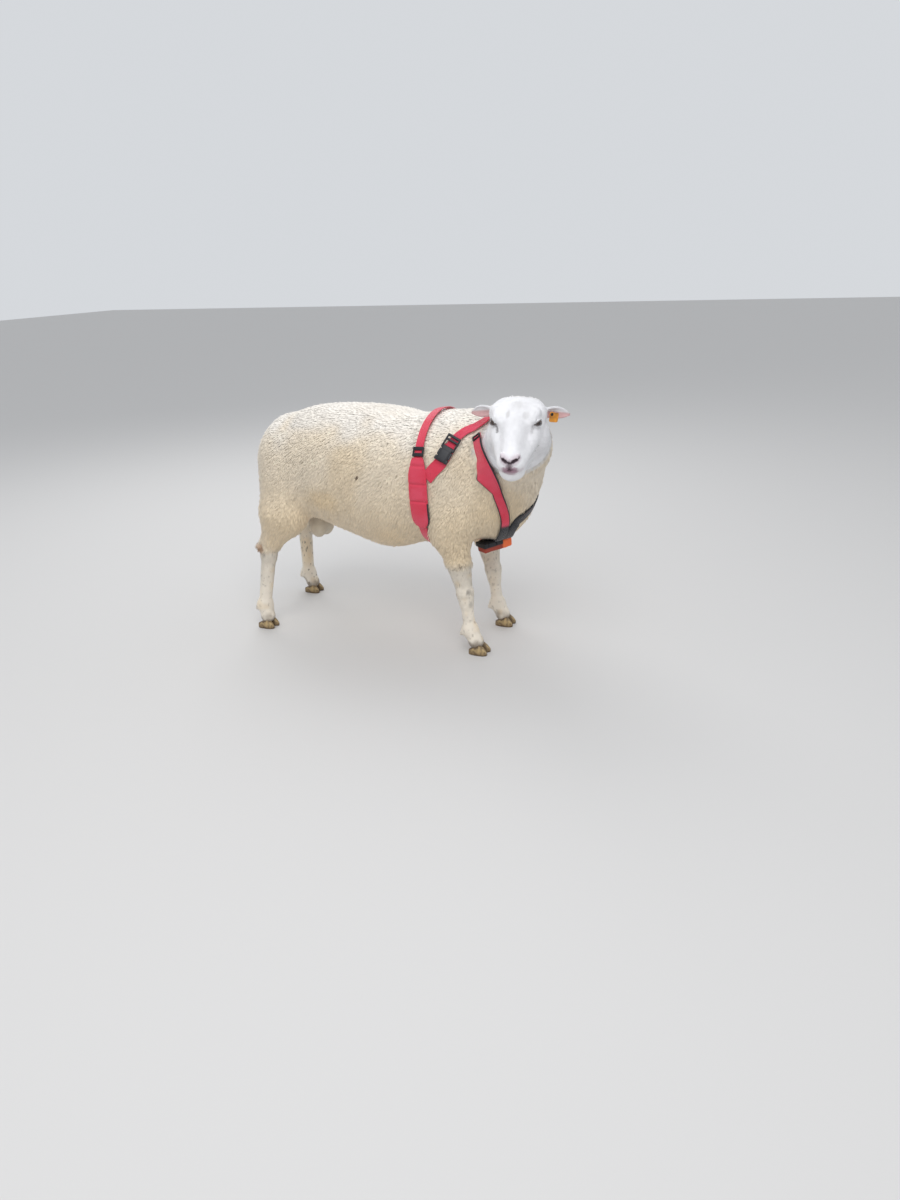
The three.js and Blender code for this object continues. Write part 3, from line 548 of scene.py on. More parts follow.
def sampled(field, lines, margin, block=8):
    """The field at the grid's points near its surface. Far from it a block has one value."""
    counts = [len(line) for line in lines]
    starts = [np.arange(0, n, block) for n in counts]
    centre, half = [], []
    for line, start in zip(lines, starts):
        end = np.minimum(start + block - 1, len(line) - 1)
        centre.append((line[start] + line[end]) / 2)
        half.append((line[end] - line[start]) / 2)
    middles = np.stack(np.meshgrid(*centre, indexing="ij"), -1).reshape(-1, 3)
    reach = np.linalg.norm(np.stack(np.meshgrid(*half, indexing="ij"), -1).reshape(-1, 3), axis=1)
    rough = field(middles)
    shape = [len(start) for start in starts]
    value = rough.reshape(shape)
    for axis, n in enumerate(counts):
        value = value.repeat(block, axis=axis).take(np.arange(n), axis=axis)
    near = np.stack(np.unravel_index(np.nonzero(np.abs(rough) < 1.5 * reach + margin)[0], shape), -1)
    within = np.stack(np.meshgrid(*[np.arange(block)] * 3, indexing="ij"), -1).reshape(-1, 3)
    for chunk in np.array_split(near, max(len(near) // 500, 1)):
        index = (chunk[:, None, :] * block + within).reshape(-1, 3)
        index = index[(index < counts).all(1)]
        points = np.stack([line[index[:, axis]] for axis, line in enumerate(lines)], -1)
        value[tuple(index.T)] = field(points)
    return value


def cell_numbers(cells, size, first, start, finer, base_size):
    """Numbers of a grid's cells. One just outside a finer grid is a cell of the base grid."""
    out = ((cells < 0) | (cells >= size)).any(1)
    found = first + np.ravel_multi_index(np.where(out[:, None], 0, cells).T, size)
    found[out] = np.ravel_multi_index((start + cells[out] // finer).T, base_size)
    return found


def surface_net(field, low, high, cell, finer_boxes):
    """Triangles over a field's surface: one vertex for each cell that it crosses, one face round
    each crossed edge. Inside each finer box, (low, high, times), the cells are that much smaller.
    """
    base_size = np.ceil((high - low) / cell).astype(int)
    grids = [(low, cell, base_size, np.zeros(3, int), 1)]
    for box_low, box_high, finer in finer_boxes:
        start = np.floor((box_low - low) / cell).astype(int)
        size = (np.ceil((box_high - low) / cell).astype(int) - start) * finer
        grids.append((low + start * cell, cell / finer, size, start, finer))
    first = 0
    crossings, rings = [], []
    for origin, pitch, size, start, finer in grids:
        lines = [origin[k] + pitch * np.arange(size[k] + 1) for k in range(3)]
        value = sampled(field, lines, 16 if finer == 1 else 6)
        inside = value < 0
        for axis in range(3):
            side, other = (axis + 1) % 3, (axis + 2) % 3
            flat = np.swapaxes(inside, 0, axis)
            edges = np.stack(np.nonzero(np.swapaxes(flat[:-1] != flat[1:], 0, axis)), -1)
            if finer == 1:
                for _, _, box_size, box_start, times in grids[1:]:
                    end = box_start + box_size // times
                    kept = (edges < box_start) | (edges > end)
                    kept[:, axis] |= edges[:, axis] == end[axis]
                    edges = edges[kept.any(1)]
            a = value[tuple(edges.T)]
            b = value[tuple((edges + np.eye(3, dtype=int)[axis]).T)]
            crossings.append(origin + pitch * (edges + (a / (a - b))[:, None] * np.eye(3)[axis]))
            ring = []
            for back_side, back_other in ((0, 0), (1, 0), (1, 1), (0, 1)):
                cells = edges.copy()
                cells[:, side] -= back_side
                cells[:, other] -= back_other
                ring.append(cell_numbers(cells, size, first, start, finer, base_size))
            ring = np.stack(ring, -1)
            ring[a < 0] = ring[a < 0][:, ::-1]
            rings.append(ring)
        first += int(np.prod(size))
    used, rings = np.unique(np.concatenate(rings), return_inverse=True)
    rings = rings.reshape(-1, 4)
    points = mean_at(rings.ravel(), np.concatenate(crossings).repeat(4, axis=0), len(used))
    across = length(points[rings[:, 0]] - points[rings[:, 2]]) > length(
        points[rings[:, 1]] - points[rings[:, 3]])
    rings[across] = np.roll(rings[across], 1, axis=1)
    triangles = np.concatenate([rings[:, [0, 1, 2]], rings[:, [0, 2, 3]]])
    a, b, c = triangles.T
    return points, triangles[(a != b) & (b != c) & (c != a)]


def mean_at(index, values, count):
    """The mean of the values that have each index."""
    total = [np.bincount(index, values[:, k], count) for k in range(3)]
    return np.stack(total, -1) / np.maximum(np.bincount(index, minlength=count), 1)[:, None]


def slope(field, p, step=0.4):
    here = field(p)
    ahead = [field(p + step * np.eye(3)[axis]) - here for axis in range(3)]
    return here, np.stack(ahead, -1) / step


def onto_surface(field, p, most):
    """Moves points onto the surface, by no more than most."""
    here, rise = slope(field, p)
    move = -(here / np.maximum(dot(rise, rise), 0.1))[:, None] * rise
    return p + move * np.minimum(1, most / np.maximum(length(move), 1e-9))[:, None]


def facing_of(points, triangles):
    """Each triangle's normal, as long as twice its area."""
    a, b, c = (points[triangles[:, k]] for k in range(3))
    return np.cross(b - a, c - a)


def normals_of(points, triangles):
    across = facing_of(points, triangles)
    return unit(mean_at(triangles.ravel(), across.repeat(3, axis=0), len(points)))


def relaxed(points, triangles, share):
    """Points moved within the surface towards the middle of their neighbours."""
    there = triangles[:, [1, 2, 0, 2, 0, 1]].ravel()
    move = mean_at(triangles.repeat(2, axis=1).ravel(), points[there], len(points)) - points
    return points + share * flattened(move, normals_of(points, triangles))


BODY_CELL = 8.0
HEAD_FINER, FOOT_FINER = 4, 2


def skin_mesh():
    low, high = np.array([-440.0, -270, 4]), np.array([720.0, 270, 830])
    finer = [(head_ends.min(0) - 16, head_ends.max(0) + 16, HEAD_FINER)]
    for leg in LEGS.values():
        places = np.array(places_of(leg)[1:])
        finer.append((np.append(places.min(0)[:2] - [56, 46], 12),
                      places.max(0) + [44, 46, 40], FOOT_FINER))
    points, triangles = surface_net(skin_surface, low, high, BODY_CELL, finer)
    for _ in range(2):
        points = relaxed(onto_surface(skin_surface, points, 1.5), triangles, 0.4)
    points = onto_surface(skin_surface, points, 1.0)
    if np.einsum("ij,ij->", points[triangles[:, 0]], np.cross(
            points[triangles[:, 1]], points[triangles[:, 2]])) < 0:
        triangles = triangles[:, ::-1]
    return points, triangles


# ---------------------------------------------------------------------------------------------
# Chance and noise, the same on every run


def chances(cells, salt):
    """A number from 0 to 1 for each row of whole numbers."""
    mixed = np.full(len(cells), np.uint64(salt) * np.uint64(2654435761))
    for axis, factor in enumerate((73856093, 19349663, 83492791)):
        mixed ^= (cells[:, axis] + 4096).astype(np.uint64) * np.uint64(factor)
    for shift, factor in ((15, 739982445), (12, 695872825), (15, 1)):
        mixed = (mixed ^ (mixed >> np.uint64(shift))) * np.uint64(factor)
    return (mixed & np.uint64(0xFFFFF)).astype(float) / 0xFFFFF


def noise(p, size, salt=0):
    """Smooth noise from -1 to 1 with bumps about size across."""
    low = np.floor(p / size).astype(int)
    t = p / size - low
    t = t * t * (3 - 2 * t)
    total = np.zeros(len(p))
    for corner in product((0, 1), repeat=3):
        weight = np.prod(np.where(np.array(corner) == 1, t, 1 - t), axis=1)
        total += weight * chances(low + corner, salt)
    return 2 * total - 1


def clumps(p, size, salt):
    """The middle of the clump that each point belongs to."""
    own = np.floor(p / size).astype(int)
    nearest = np.full(len(p), np.inf)
    middle = np.array(p)
    for step in product((-1, 0, 1), repeat=3):
        cell = own + step
        place = (cell + np.stack([chances(cell, salt + k) for k in range(3)], -1)) * size
        away = length(place - p)
        closer = away < nearest
        nearest[closer] = away[closer]
        middle[closer] = place[closer]
    return middle


# ---------------------------------------------------------------------------------------------
# Colours of the skin and the coat


def srgb(*shown):
    """A colour given from 0 to 255 as a screen shows it, as linear light."""
    v = np.array(shown) / 255
    return np.where(v <= 0.04045, v / 12.92, ((v + 0.055) / 1.055) ** 2.4)


CREAM = srgb(243, 228, 205)
BUFF = srgb(235, 210, 170)
# Painted skylight: a white for the coat's top and rump, where the sky's light falls.
PAINTED_SKYLIGHT_WHITE = srgb(245, 240, 233)
HAIR_WHITE = srgb(240, 239, 241)
LEG_WHITE = srgb(236, 226, 210)
# The pink of the ear's inner skin, darkened with painted shade.
SHADED_EAR_PINK = srgb(198, 140, 138)
LIP = srgb(154, 112, 130)
# Dark nose skin, also used as painted shade in the nostrils, the groove under the nose and the mouth's line.
NOSE_SKIN_AND_SHADE = srgb(66, 44, 54)
EYE_RIM = srgb(58, 44, 44)
DIRT = srgb(150, 145, 138)
MUD = srgb(84, 64, 46)
RUST = srgb(150, 104, 66)
GROIN_SKIN = srgb(196, 164, 156)
BAG_SKIN = srgb(208, 196, 176)

# Marks on the body: place, radii, colour and strength.
BODY_MARKS = [
    ((44, -190, 565), (6.5, 9, 6.5), MUD, 0.95),
    ((-92, -178, 480), (70, 50, 42), BUFF, 0.6),
    ((-92, 178, 480), (70, 50, 42), BUFF, 0.6),
    ((-366, -160, 286), (22, 26, 26), RUST, 0.75),
    ((-352, -170, 268), (11, 12, 10), MUD, 0.4),
    ((-426, 168, 262), (16, 22, 20), RUST, 0.35),
    ((352, -142, 296), (16, 14, 6), MUD, 0.55),
    ((372, -142, 204), (9, 12, 10), DIRT, 0.6),
    ((378, -140, 162), (8, 10, 12), DIRT, 0.5),
    ((-405, 158, 180), (24, 30, 110), BUFF, 0.5),
]
# Marks on the head, in its own axes.
HEAD_MARKS = [
    ((-7, -20, 42), (16, 7, 10), DIRT, 0.3),
    ((-6, 29, 40), (17, 13, 10), DIRT, 0.2),
    ((-44, 4, 50), (24, 24, 10), DIRT, 0.18),
    ((24, 63, -39), (2.6, 4, 2.6), MUD, 0.75),
    ((25, 54, -56), (2.4, 4, 2.4), MUD, 0.7),
    ((52, 50, -38), (2.0, 4, 2.0), MUD, 0.6),
    ((80, 34, -14), (2.2, 4, 2.2), MUD, 0.5),
]


def stained(found, stain, weight):
    """One colour, or each row's, moved towards another by each row's weight."""
    return found + np.clip(weight, 0, 1)[:, None] * (stain - found)


def within(p, place, radii):
    """1 in the middle of a mark, 0 outside it."""
    away = length((p - np.array(place)) / np.array(radii, float))
    return 1 - step_up(away + 0.25 * noise(p, min(radii) * 0.8, 5), 0.45, 1.15)


def ear_parts(q, out):
    """For places in the head's axes: how far on an ear, how far in its hollow, and along it."""
    mirror = np.where(q[:, 1:2] < 0, [[1, -1, 1]], [[1, 1, 1]])
    root, axis, facing, drop = ear_place(0)
    span = np.linalg.norm(np.subtract(EAR["tip"], EAR["root"]))
    along = (q * mirror - root) @ axis / span
    near = (along > 0.04) & (along < 1.3)
    on_ear = np.zeros(len(q))
    on_ear[near] = 1 - step_up(ear_shape((q * mirror)[near]), 1.5, 5)
    low = step_up((q * mirror - root) @ drop, -9, -2)
    hollow = on_ear * step_up((out * mirror) @ facing, 0.0, 0.45) * step_up(along, 0.06, 0.2) * low
    return on_ear, hollow, np.where(mirror[:, 1:2] < 0, axis * [1, -1, 1], axis)


def face_colour(found, p, out):
    q = into_head(p)
    half = folded(q)
    for place, radii, stain, strength in HEAD_MARKS:
        found = stained(found, stain, strength * within(q, place, radii))
    _, hollow, _ = ear_parts(q, out @ HEAD_AXES)
    # The ear's hollow: its pink skin, painted darker for the shade inside the ear.
    found = stained(found, SHADED_EAR_PINK, 0.8 * hollow)
    # The bare skin of the nose, darkest in the nostrils, and the lips. The nose's dark colour in the
    # nostrils, the groove under the nose and the mouth's line is partly its dark skin, partly painted shade
    # in these hollows.
    to_nostril = nostril(half)
    to_philtrum = philtrum(half)
    to_mouth = chain(MOUTH[:4], [1, 1, 1, 1])(half)
    ruffled = 1.2 * noise(q, 3, 11)
    nose = np.minimum(to_nostril, to_philtrum - 1)
    found = stained(found, LIP, 0.45 * (1 - step_up(nose + ruffled, 2, 14)) * (q[:, 0] > 112))
    found = stained(found, LIP, 0.85 * (1 - step_up(to_mouth + 1.5 * ruffled, 5, 12))
                    * step_up(q[:, 0], 104, 124)
                    * (1 - 0.7 * step_up(half[:, 1], 14, 28)))
    found = stained(found, LIP, 0.7 * within(q, (134, 2, -38), (20, 24, 13)))
    found = stained(found, NOSE_SKIN_AND_SHADE, 0.6 * (1 - step_up(to_philtrum + 1.6 * ruffled, 2, 9)))
    found = stained(found, NOSE_SKIN_AND_SHADE, 0.95 * (1 - step_up(to_nostril + ruffled, 0.5, 4)))
    found = stained(found, NOSE_SKIN_AND_SHADE, 0.8 * (1 - step_up(to_mouth, -0.5, 2)))
    for side in (RIGHT, LEFT):
        here = q[:, 1] * side > 20
        rim = 1 - step_up(eye_opening(half, EYE_OPEN[side]), 1.0, 4.2)
        found = stained(found, EYE_RIM, 0.9 * rim * here * (length(half - EYE_AT) < EYE_RADIUS + 9))
        # A tear's track from the eye's front corner, seen square to the eye.
        seen = np.stack([(half - EYE_AT) @ EYE_LONG, (half - EYE_AT) @ EYE_UP, 0 * q[:, 0]], -1)
        tear = limb((14, -3, 0), (29, -17, 0), 2.2, 1.2)(seen) + ruffled
        found = stained(found, EYE_RIM, (0.7 if side == RIGHT else 0.3) * here
                        * (1 - step_up(tear, 0, 4)) * (half[:, 0] < 60))
    return found


def coat_colour(p, out):
    """The colour of the skin and of the coat that grows there."""
    face, leg = face_weight(p), leg_hair_weight(p)
    found = stained(CREAM, BUFF, 0.62 * (1 - step_up(p[:, 2] + 30 * noise(p, 90), 350, 600)))
    found = stained(found, BUFF, 0.4 * step_up(noise(p, 120, 3), 0.1, 0.7))
    # Painted light: coat facing up is painted whiter, standing in for the sky's light from above.
    found = stained(found, PAINTED_SKYLIGHT_WHITE, 0.8 * step_up(out[:, 2] + 0.2 * noise(p, 50, 1), 0.35, 0.95))
    # Painted rim light: the rump is painted whiter where the sky's rim light falls.
    found = stained(found, PAINTED_SKYLIGHT_WHITE, 0.45 * step_up(-p[:, 0], 300, 420))
    found = stained(found, LEG_WHITE, leg)
    found = stained(found, BUFF, 0.35 * leg * step_up(noise(p, 26, 8), 0.1, 0.8))
    found = stained(found, HAIR_WHITE, face)
    for place, radii, stain, strength in BODY_MARKS:
        found = stained(found, stain, strength * within(p, place, radii))
    far_hind = leg * step_up(-p[:, 0], 200, 300) * step_up(p[:, 1], 60, 120)
    found = stained(found, MUD, (0.35 * leg + 0.45 * far_hind) * step_up(noise(p, 5.5, 21), 0.52, 0.72))
    found = stained(found, MUD, 0.7 * leg * (1 - step_up(p[:, 2] + 16 * noise(p, 12, 9), 22, 62)))
    found = stained(found, GROIN_SKIN, 0.85 * groin_weight(p) * (p[:, 0] > -330))
    found = stained(found, BAG_SKIN, scrotum_weight(p))
    near_head = length(p - HEAD_PLACE) < HEAD_REACH
    found[near_head] = face_colour(found[near_head], p[near_head], out[near_head])
    return found * (1 + 0.05 * noise(p, 30, 4) + 0.04 * noise(p, 9, 6))[:, None]


# ---------------------------------------------------------------------------------------------
# Blender meshes and materials


def new_mesh(name, points, faces, normals=None):
    """A mesh object in the frame from points in the layout. faces is one array or a list of them."""
    groups = [np.asarray(f, np.int32) for f in (faces if isinstance(faces, list) else [faces])]
    corners = np.concatenate([np.full(len(f), f.shape[1], np.int32) for f in groups])
    loops = np.concatenate([f.ravel() for f in groups])
    mesh = bpy.data.meshes.new(name)
    mesh.vertices.add(len(points))
    mesh.vertices.foreach_set("co", to_frame(points).astype(np.float32).ravel())
    mesh.loops.add(len(loops))
    mesh.loops.foreach_set("vertex_index", loops)
    mesh.polygons.add(len(corners))
    mesh.polygons.foreach_set("loop_start", np.concatenate([[0], np.cumsum(corners)[:-1]]).astype(np.int32))
    mesh.update(calc_edges=True)
    mesh.polygons.foreach_set("use_smooth", np.full(len(corners), True))
    if normals is not None:
        layer = mesh.attributes.new("custom_normal", "FLOAT_VECTOR", "POINT")
        layer.data.foreach_set("vector", normals.astype(np.float32).ravel())
    piece = bpy.data.objects.new(name, mesh)
    bpy.context.scene.collection.objects.link(piece)
    return piece


def give_colour(piece, name, colour):
    rgba = np.concatenate([np.clip(colour, 0, 1), np.ones((len(colour), 1))], 1)
    layer = piece.data.color_attributes.new(name, "FLOAT_COLOR", "POINT")
    layer.data.foreach_set("color", rgba.astype(np.float32).ravel())


def give_map(piece, name, places):
    """A UV map with a place for each of the piece's points, or for each of its corners."""
    corners = np.empty(len(piece.data.loops), np.int32)
    piece.data.loops.foreach_get("vertex_index", corners)
    layer = piece.data.uv_layers.new(name=name)
    places = places[corners] if len(places) == len(piece.data.vertices) else places
    layer.uv.foreach_set("vector", places.astype(np.float32).ravel())


def new_material(name, roughness, **settings):
    """A material with a Principled shader. settings are its sockets, with _ for a space."""
    made = bpy.data.materials.new(name)
    made.use_nodes = True
    shader = made.node_tree.nodes["Principled BSDF"]
    shader.inputs["Roughness"].default_value = roughness
    for socket, value in settings.items():
        shader.inputs[socket.replace("_", " ")].default_value = value
    return made


def add_node(made, kind, settings=None, **inputs):
    new = made.node_tree.nodes.new(kind)
    for name, value in (settings or {}).items():
        setattr(new, name, value)
    for name, value in inputs.items():
        new.inputs[name.replace("_", " ")].default_value = value
    return new


def link(made, source, target):
    made.node_tree.links.new(source, target)


def shader_of(made):
    return made.node_tree.nodes["Principled BSDF"]


def colour_from(made, attribute):
    source = add_node(made, "ShaderNodeAttribute", {"attribute_name": attribute})
    link(made, source.outputs["Color"], shader_of(made).inputs["Base Color"])


def bumpy(made, height, distance, strength):
    bump = add_node(made, "ShaderNodeBump", Distance=distance, Strength=strength)
    link(made, height, bump.inputs["Height"])
    link(made, bump.outputs["Normal"], shader_of(made).inputs["Normal"])


def grain(made, size, detail):
    """Fine noise about size metres across, fixed to the piece."""
    place = add_node(made, "ShaderNodeTexCoord")
    texture = add_node(made, "ShaderNodeTexNoise", Scale=1 / size, Detail=detail)
    link(made, place.outputs["Object"], texture.inputs["Vector"])
    return texture.outputs["Fac"]


def skin_material():
    """Skin under short flat hair."""
    made = new_material("skin_and_short_hair", 0.82, Sheen_Weight=0.25, Sheen_Roughness=0.5)
    colour_from(made, "coat_colour")
    bumpy(made, grain(made, 0.0016, 4.0), 0.0009, 0.8)
    return made


def tuft_material(name, roughness, sheen):
    made = new_material(name, roughness, Sheen_Weight=sheen, Sheen_Roughness=0.5, Specular_IOR_Level=0.2)
    colour_from(made, "coat_colour")
    return made


# ---------------------------------------------------------------------------------------------
# The skin's unwrap: each part's six sides, flat and apart from one another


def unwrap(points, triangles):
    """A place from 0 to 1 for each triangle's corners, shape (triangles, 3, 2)."""
    middle = points[triangles].mean(1)
    across = unit(facing_of(points, triangles))
    q = into_head(middle)
    on_ear, _, _ = ear_parts(q, across @ HEAD_AXES)
    part = np.zeros(len(middle), int)
    for number, leg in enumerate(LEGS.values(), start=1):
        mine = (middle[:, 2] < 330) & ((middle[:, 1] > 0) == (leg["side"] > 0))
        part[mine & ((middle[:, 0] > 60) == leg["fore"])] = number
    part[scrotum_weight(middle) > 0.5] = 5
    on_head = face_weight(middle) > 0.5
    part[on_head] = 6
    part[(on_ear > 0.5) & on_head] = np.where(q[(on_ear > 0.5) & on_head, 1] > 0, 7, 8)
    local, facing = points[triangles], across
    turned_points = into_head(points)[triangles]
    headwise = part >= 6
    local = np.where(headwise[:, None, None], turned_points, local)
    facing = np.where(headwise[:, None], across @ HEAD_AXES, across)
    side = np.abs(facing).argmax(1)
    chart = part * 6 + side * 2 + (np.take_along_axis(facing, side[:, None], 1)[:, 0] > 0)
    flat = np.stack([np.take_along_axis(local, ((side + k) % 3)[:, None, None], 2)[..., 0]
                     for k in (1, 2)], -1)
    placed = np.zeros_like(flat)
    sizes = []
    for number in np.unique(chart):
        mine = chart == number
        low = flat[mine].min((0, 1))
        sizes.append((*(flat[mine].max((0, 1)) - low), number, low))
    shelf = math.sqrt(sum(wide * tall for wide, tall, _, _ in sizes)) * 1.12
    x = y = row = 0.0
    for wide, tall, number, low in sorted(sizes, key=lambda s: -s[1]):
        if x + wide > shelf:
            x, y, row = 0.0, y + row + 6, 0.0
        mine = chart == number
        placed[mine] = flat[mine] - low + (x, y)
        x += wide + 6
        row = max(row, tall)
    return (placed + 4) / (max(placed.max(), 1) + 8)


# ---------------------------------------------------------------------------------------------
# Tufts

FLEECE_LOCKS = 98000
HEAD_TUFTS, LEG_TUFTS = 62000, 50000
LOCKS_IN_A_PIECE, TUFTS_IN_A_PIECE = 19600, 49000
CLUMP = 11.0  # how far apart the locks' tips gather
PATCH = 0.0015  # half the width of a tuft's place on the bake map
TUFT_SHARE = 1.0


def scatter(density, count, salt):
    """Roots spread over the skin: their place, the way out, and their place on the unwrap."""
    steps = np.cumsum(length(facing_of(skin_points, skin_triangles)) * density)
    chance = np.random.default_rng(salt)
    count = int(count * TUFT_SHARE)
    chosen = np.searchsorted(steps, (np.arange(count) + chance.random(count)) / count * steps[-1])
    chosen = np.minimum(chosen, len(skin_triangles) - 1)
    u, v = chance.random((2, count))
    over = u + v > 1
    u[over], v[over] = 1 - u[over], 1 - v[over]
    shares = np.stack([1 - u - v, u, v], -1)[:, :, None]
    place = (skin_points[skin_triangles[chosen]] * shares).sum(1)
    out = unit((skin_normals[skin_triangles[chosen]] * shares).sum(1))
    return place, out, (skin_map[chosen] * shares).sum(1)


def lie_of(p, out):
    """The way the coat lies: down and back on the body, up the face, out along the ears."""
    face, leg = face_weight(p)[:, None], leg_hair_weight(p)[:, None]
    swirl = np.stack([noise(p, 55, 31 + k) for k in range(3)], -1)
    way = np.array([-0.55, 0, -1.0]) + 0.3 * swirl
    way = way * (1 - leg) + (np.array([-0.15, 0, -1.0]) + 0.12 * swirl) * leg
    q = into_head(p)
    over = np.stack([-np.ones(len(q)), q[:, 1] / 80, -0.15 - 0.004 * np.abs(q[:, 1])], -1)
    way = way * (1 - face) + (over @ HEAD_AXES.T + 0.12 * swirl) * face
    near = length(p - HEAD_PLACE) < HEAD_REACH
    on_ear, _, axis = ear_parts(q[near], out[near] @ HEAD_AXES)
    way[near] += on_ear[:, None] * (axis @ HEAD_AXES.T - way[near])
    return unit(flattened(way, out) + 1e-4)


def tuft_points(place, out, way, long, wide, thick, rise, fall, shift, bent):
    """Each tuft's points: three round its base, three round its bend if it has one, and its tip."""
    side = np.cross(out, way)

    def heading(angle):
        return way * np.cos(angle)[:, None] + out * np.sin(angle)[:, None]

    def ring(middle, ahead, share):
        up = np.cross(ahead, side)
        half = (wide * share / 2)[:, None]
        return [middle + side * half, middle - side * half, middle + up * (thick * share)[:, None]]

    start, end = heading(rise), heading(rise - fall)
    base = place - 0.8 * out
    middle = base + start * (long * 0.5)[:, None] + 0.4 * shift
    tip = base + (start + end) * (long * 0.5)[:, None] + shift
    if bent:
        return np.stack([*ring(base, start, 1.7), *ring(middle, unit(start + end), 1.0), tip], 1)
    return np.stack([*ring(base, start, 1.0), tip], 1)


BENT_FACES = [(0, 2, 5), (0, 5, 3), (2, 1, 4), (2, 4, 5), (3, 5, 6), (5, 4, 6),
              (0, 1, 2), (1, 0, 3), (1, 3, 4), (4, 3, 6)]
STRAIGHT_FACES = [(0, 2, 3), (2, 1, 3), (0, 1, 2), (1, 0, 3)]


def soft_normals(out, way, bent):
    """Normals for the points that follow the coat more than the tuft, for a soft look."""
    side = np.cross(out, way)[:, None]
    across = np.array([0.45, -0.45, 0] * 2 + [0]) if bent else np.array([0.3, -0.3, 0, 0])
    ahead = np.array([0.1] * 3 + [0.25] * 3 + [0.45]) if bent else np.array([0, 0, 0, 0.3])
    return unit(out[:, None] + across[:, None] * side + ahead[:, None] * way[:, None])


def tufts(name, made, roots, shape, limit):
    """Joined tufts in pieces of up to limit. shape gives each root's measures and colour."""
    place, out, spot = roots
    order = np.argsort(place[:, 0], kind="stable")
    count = math.ceil(len(order) / limit)
    for number, mine in enumerate(np.array_split(order, count), start=1):
        part = {key: value[mine] if isinstance(value, np.ndarray) else value
                for key, value in shape.items()}
        colour = part.pop("colour")
        points = tuft_points(place[mine], out[mine], **part)
        corners = points.shape[1]
        faces = np.array(BENT_FACES if part["bent"] else STRAIGHT_FACES)
        faces = (np.arange(len(mine))[:, None, None] * corners + faces).reshape(-1, 3)
        facing = soft_normals(out[mine], part["way"], part["bent"])
        piece = new_mesh(f"{name}_{number}" if count > 1 else name, points.reshape(-1, 3), faces, facing)
        # Bent locks are lighter at the base and middle than at the tip: partly wool that is whiter near the
        # skin, partly painted fill light in the shaded gaps between locks. Short hair is a little lighter at
        # its tip.
        shade = [1.15] * 3 + [1.04] * 3 + [1.0] if part["bent"] else [0.97] * 3 + [1.02]
        give_colour(piece, "coat_colour", (colour[:, None] * np.array(shade)[:, None]).reshape(-1, 3))
        turn = np.radians([90, 210, 330, 30, 150, 270])
        ring = np.stack([np.cos(turn), np.sin(turn)], -1) * PATCH
        ring[3:] *= 0.6
        patch = np.concatenate([ring[:corners - 1], [[0, 0]]])
        give_map(piece, "OFBake", (spot[mine][:, None] + patch).reshape(-1, 2))
        piece.data.materials.append(made)
        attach(piece, "root")


def pressed(place, out, ahead):
    """How high the coat may stand under the harness, how near a strap is, and how far ahead one is."""
    ceiling, beside, clear = np.full((3, len(place)), 99.0)
    tips = place + out * FLEECE_DEPTH
    rows = zip(place.tolist(), out.tolist(), ahead.tolist(), tips.tolist())
    for i, (root, up, way, tip) in enumerate(rows):
        near = HARNESS_TREE.find_nearest(tip, 26)
        if near[0] is None:
            continue
        beside[i] = near[3]
        above = HARNESS_TREE.ray_cast(root, up, 44)
        if above[0] is not None:
            ceiling[i] = above[3]
        struck = HARNESS_TREE.ray_cast(root, way, 30)
        if struck[0] is not None:
            clear[i] = struck[3]
    return ceiling, beside, clear


def fleece():
    roots = scatter(step_up(wool_weight(skin_middles), 0.12, 0.5), FLEECE_LOCKS, 1)
    place, out, _ = roots
    wool = wool_weight(place)
    chance = np.random.default_rng(2)
    luck = chance.random((4, len(place)))
    low = 1 - step_up(place[:, 2] - 60 * out[:, 2], 380, 560)
    back = step_up(out[:, 2], 0.25, 0.9)
    long = (16.5 + 5 * luck[0] + 6 * low + 1.5 * back) * (0.42 + 0.58 * wool)
    rise = np.radians(40 + 10 * (luck[1] - 0.5) - 4 * low - 11 * back)
    fall = np.radians(21 + 10 * (luck[2] - 0.5) + 5 * low)
    lie = lie_of(place, out)
    ceiling, beside, clear = pressed(place, out, unit(lie * 0.8 + out * 0.6))
    edge = np.clip(1 - beside / 15, 0, 1) * (ceiling > 60)
    long += 5.5 * edge
    rise += 0.16 * edge
    long *= np.clip((ceiling - 1.5) / 12.5, 0.25, 1)
    long = np.where(ceiling > 60, np.clip(clear - 1.5, 3, long), long)
    clump = clumps(place, CLUMP, 41)
    shift = flattened(clump - place, out) * (0.16 + 0.22 * low)[:, None]
    shift += 1.1 * chance.normal(size=place.shape)
    clump_shade = 1 + 0.07 * (chances(np.floor(clump).astype(int), 7) - 0.5)
    colour = coat_colour(place, out) * (clump_shade + 0.16 * (luck[3] - 0.5))[:, None]
    tufts("fleece", tuft_material("fleece", 0.9, 0.3), roots, dict(
        way=lie, long=long, wide=(3.5 + 2.2 * luck[1]) * (0.5 + 0.5 * wool) * (1 + 0.25 * back),
        thick=1.3 + 0.8 * luck[2] - 0.3 * back,
        rise=rise, fall=fall, shift=shift, bent=True, colour=colour), LOCKS_IN_A_PIECE)


def hair(name, density, count, salt, long, wide):
    """Short hair: one row of small flat tufts over a part of the skin."""
    roots = scatter(density, count, salt)
    place, out, _ = roots
    chance = np.random.default_rng(salt + 1)
    luck = chance.random((4, len(place)))
    long, wide = long(place) * (0.75 + 0.5 * luck[0]), wide(place) * (0.8 + 0.4 * luck[1])
    colour = coat_colour(place, out) * (1 + 0.08 * (luck[3] - 0.5))[:, None]
    tufts(name, tuft_material(name, 0.85, 0.25), roots, dict(
        way=lie_of(place, out), long=long, wide=wide, thick=0.35 * wide,
        rise=np.radians(13 + 12 * luck[2]), fall=np.radians(8 + 4 * luck[2]),
        shift=0.5 * chance.normal(size=place.shape), bent=False, colour=colour), TUFTS_IN_A_PIECE)


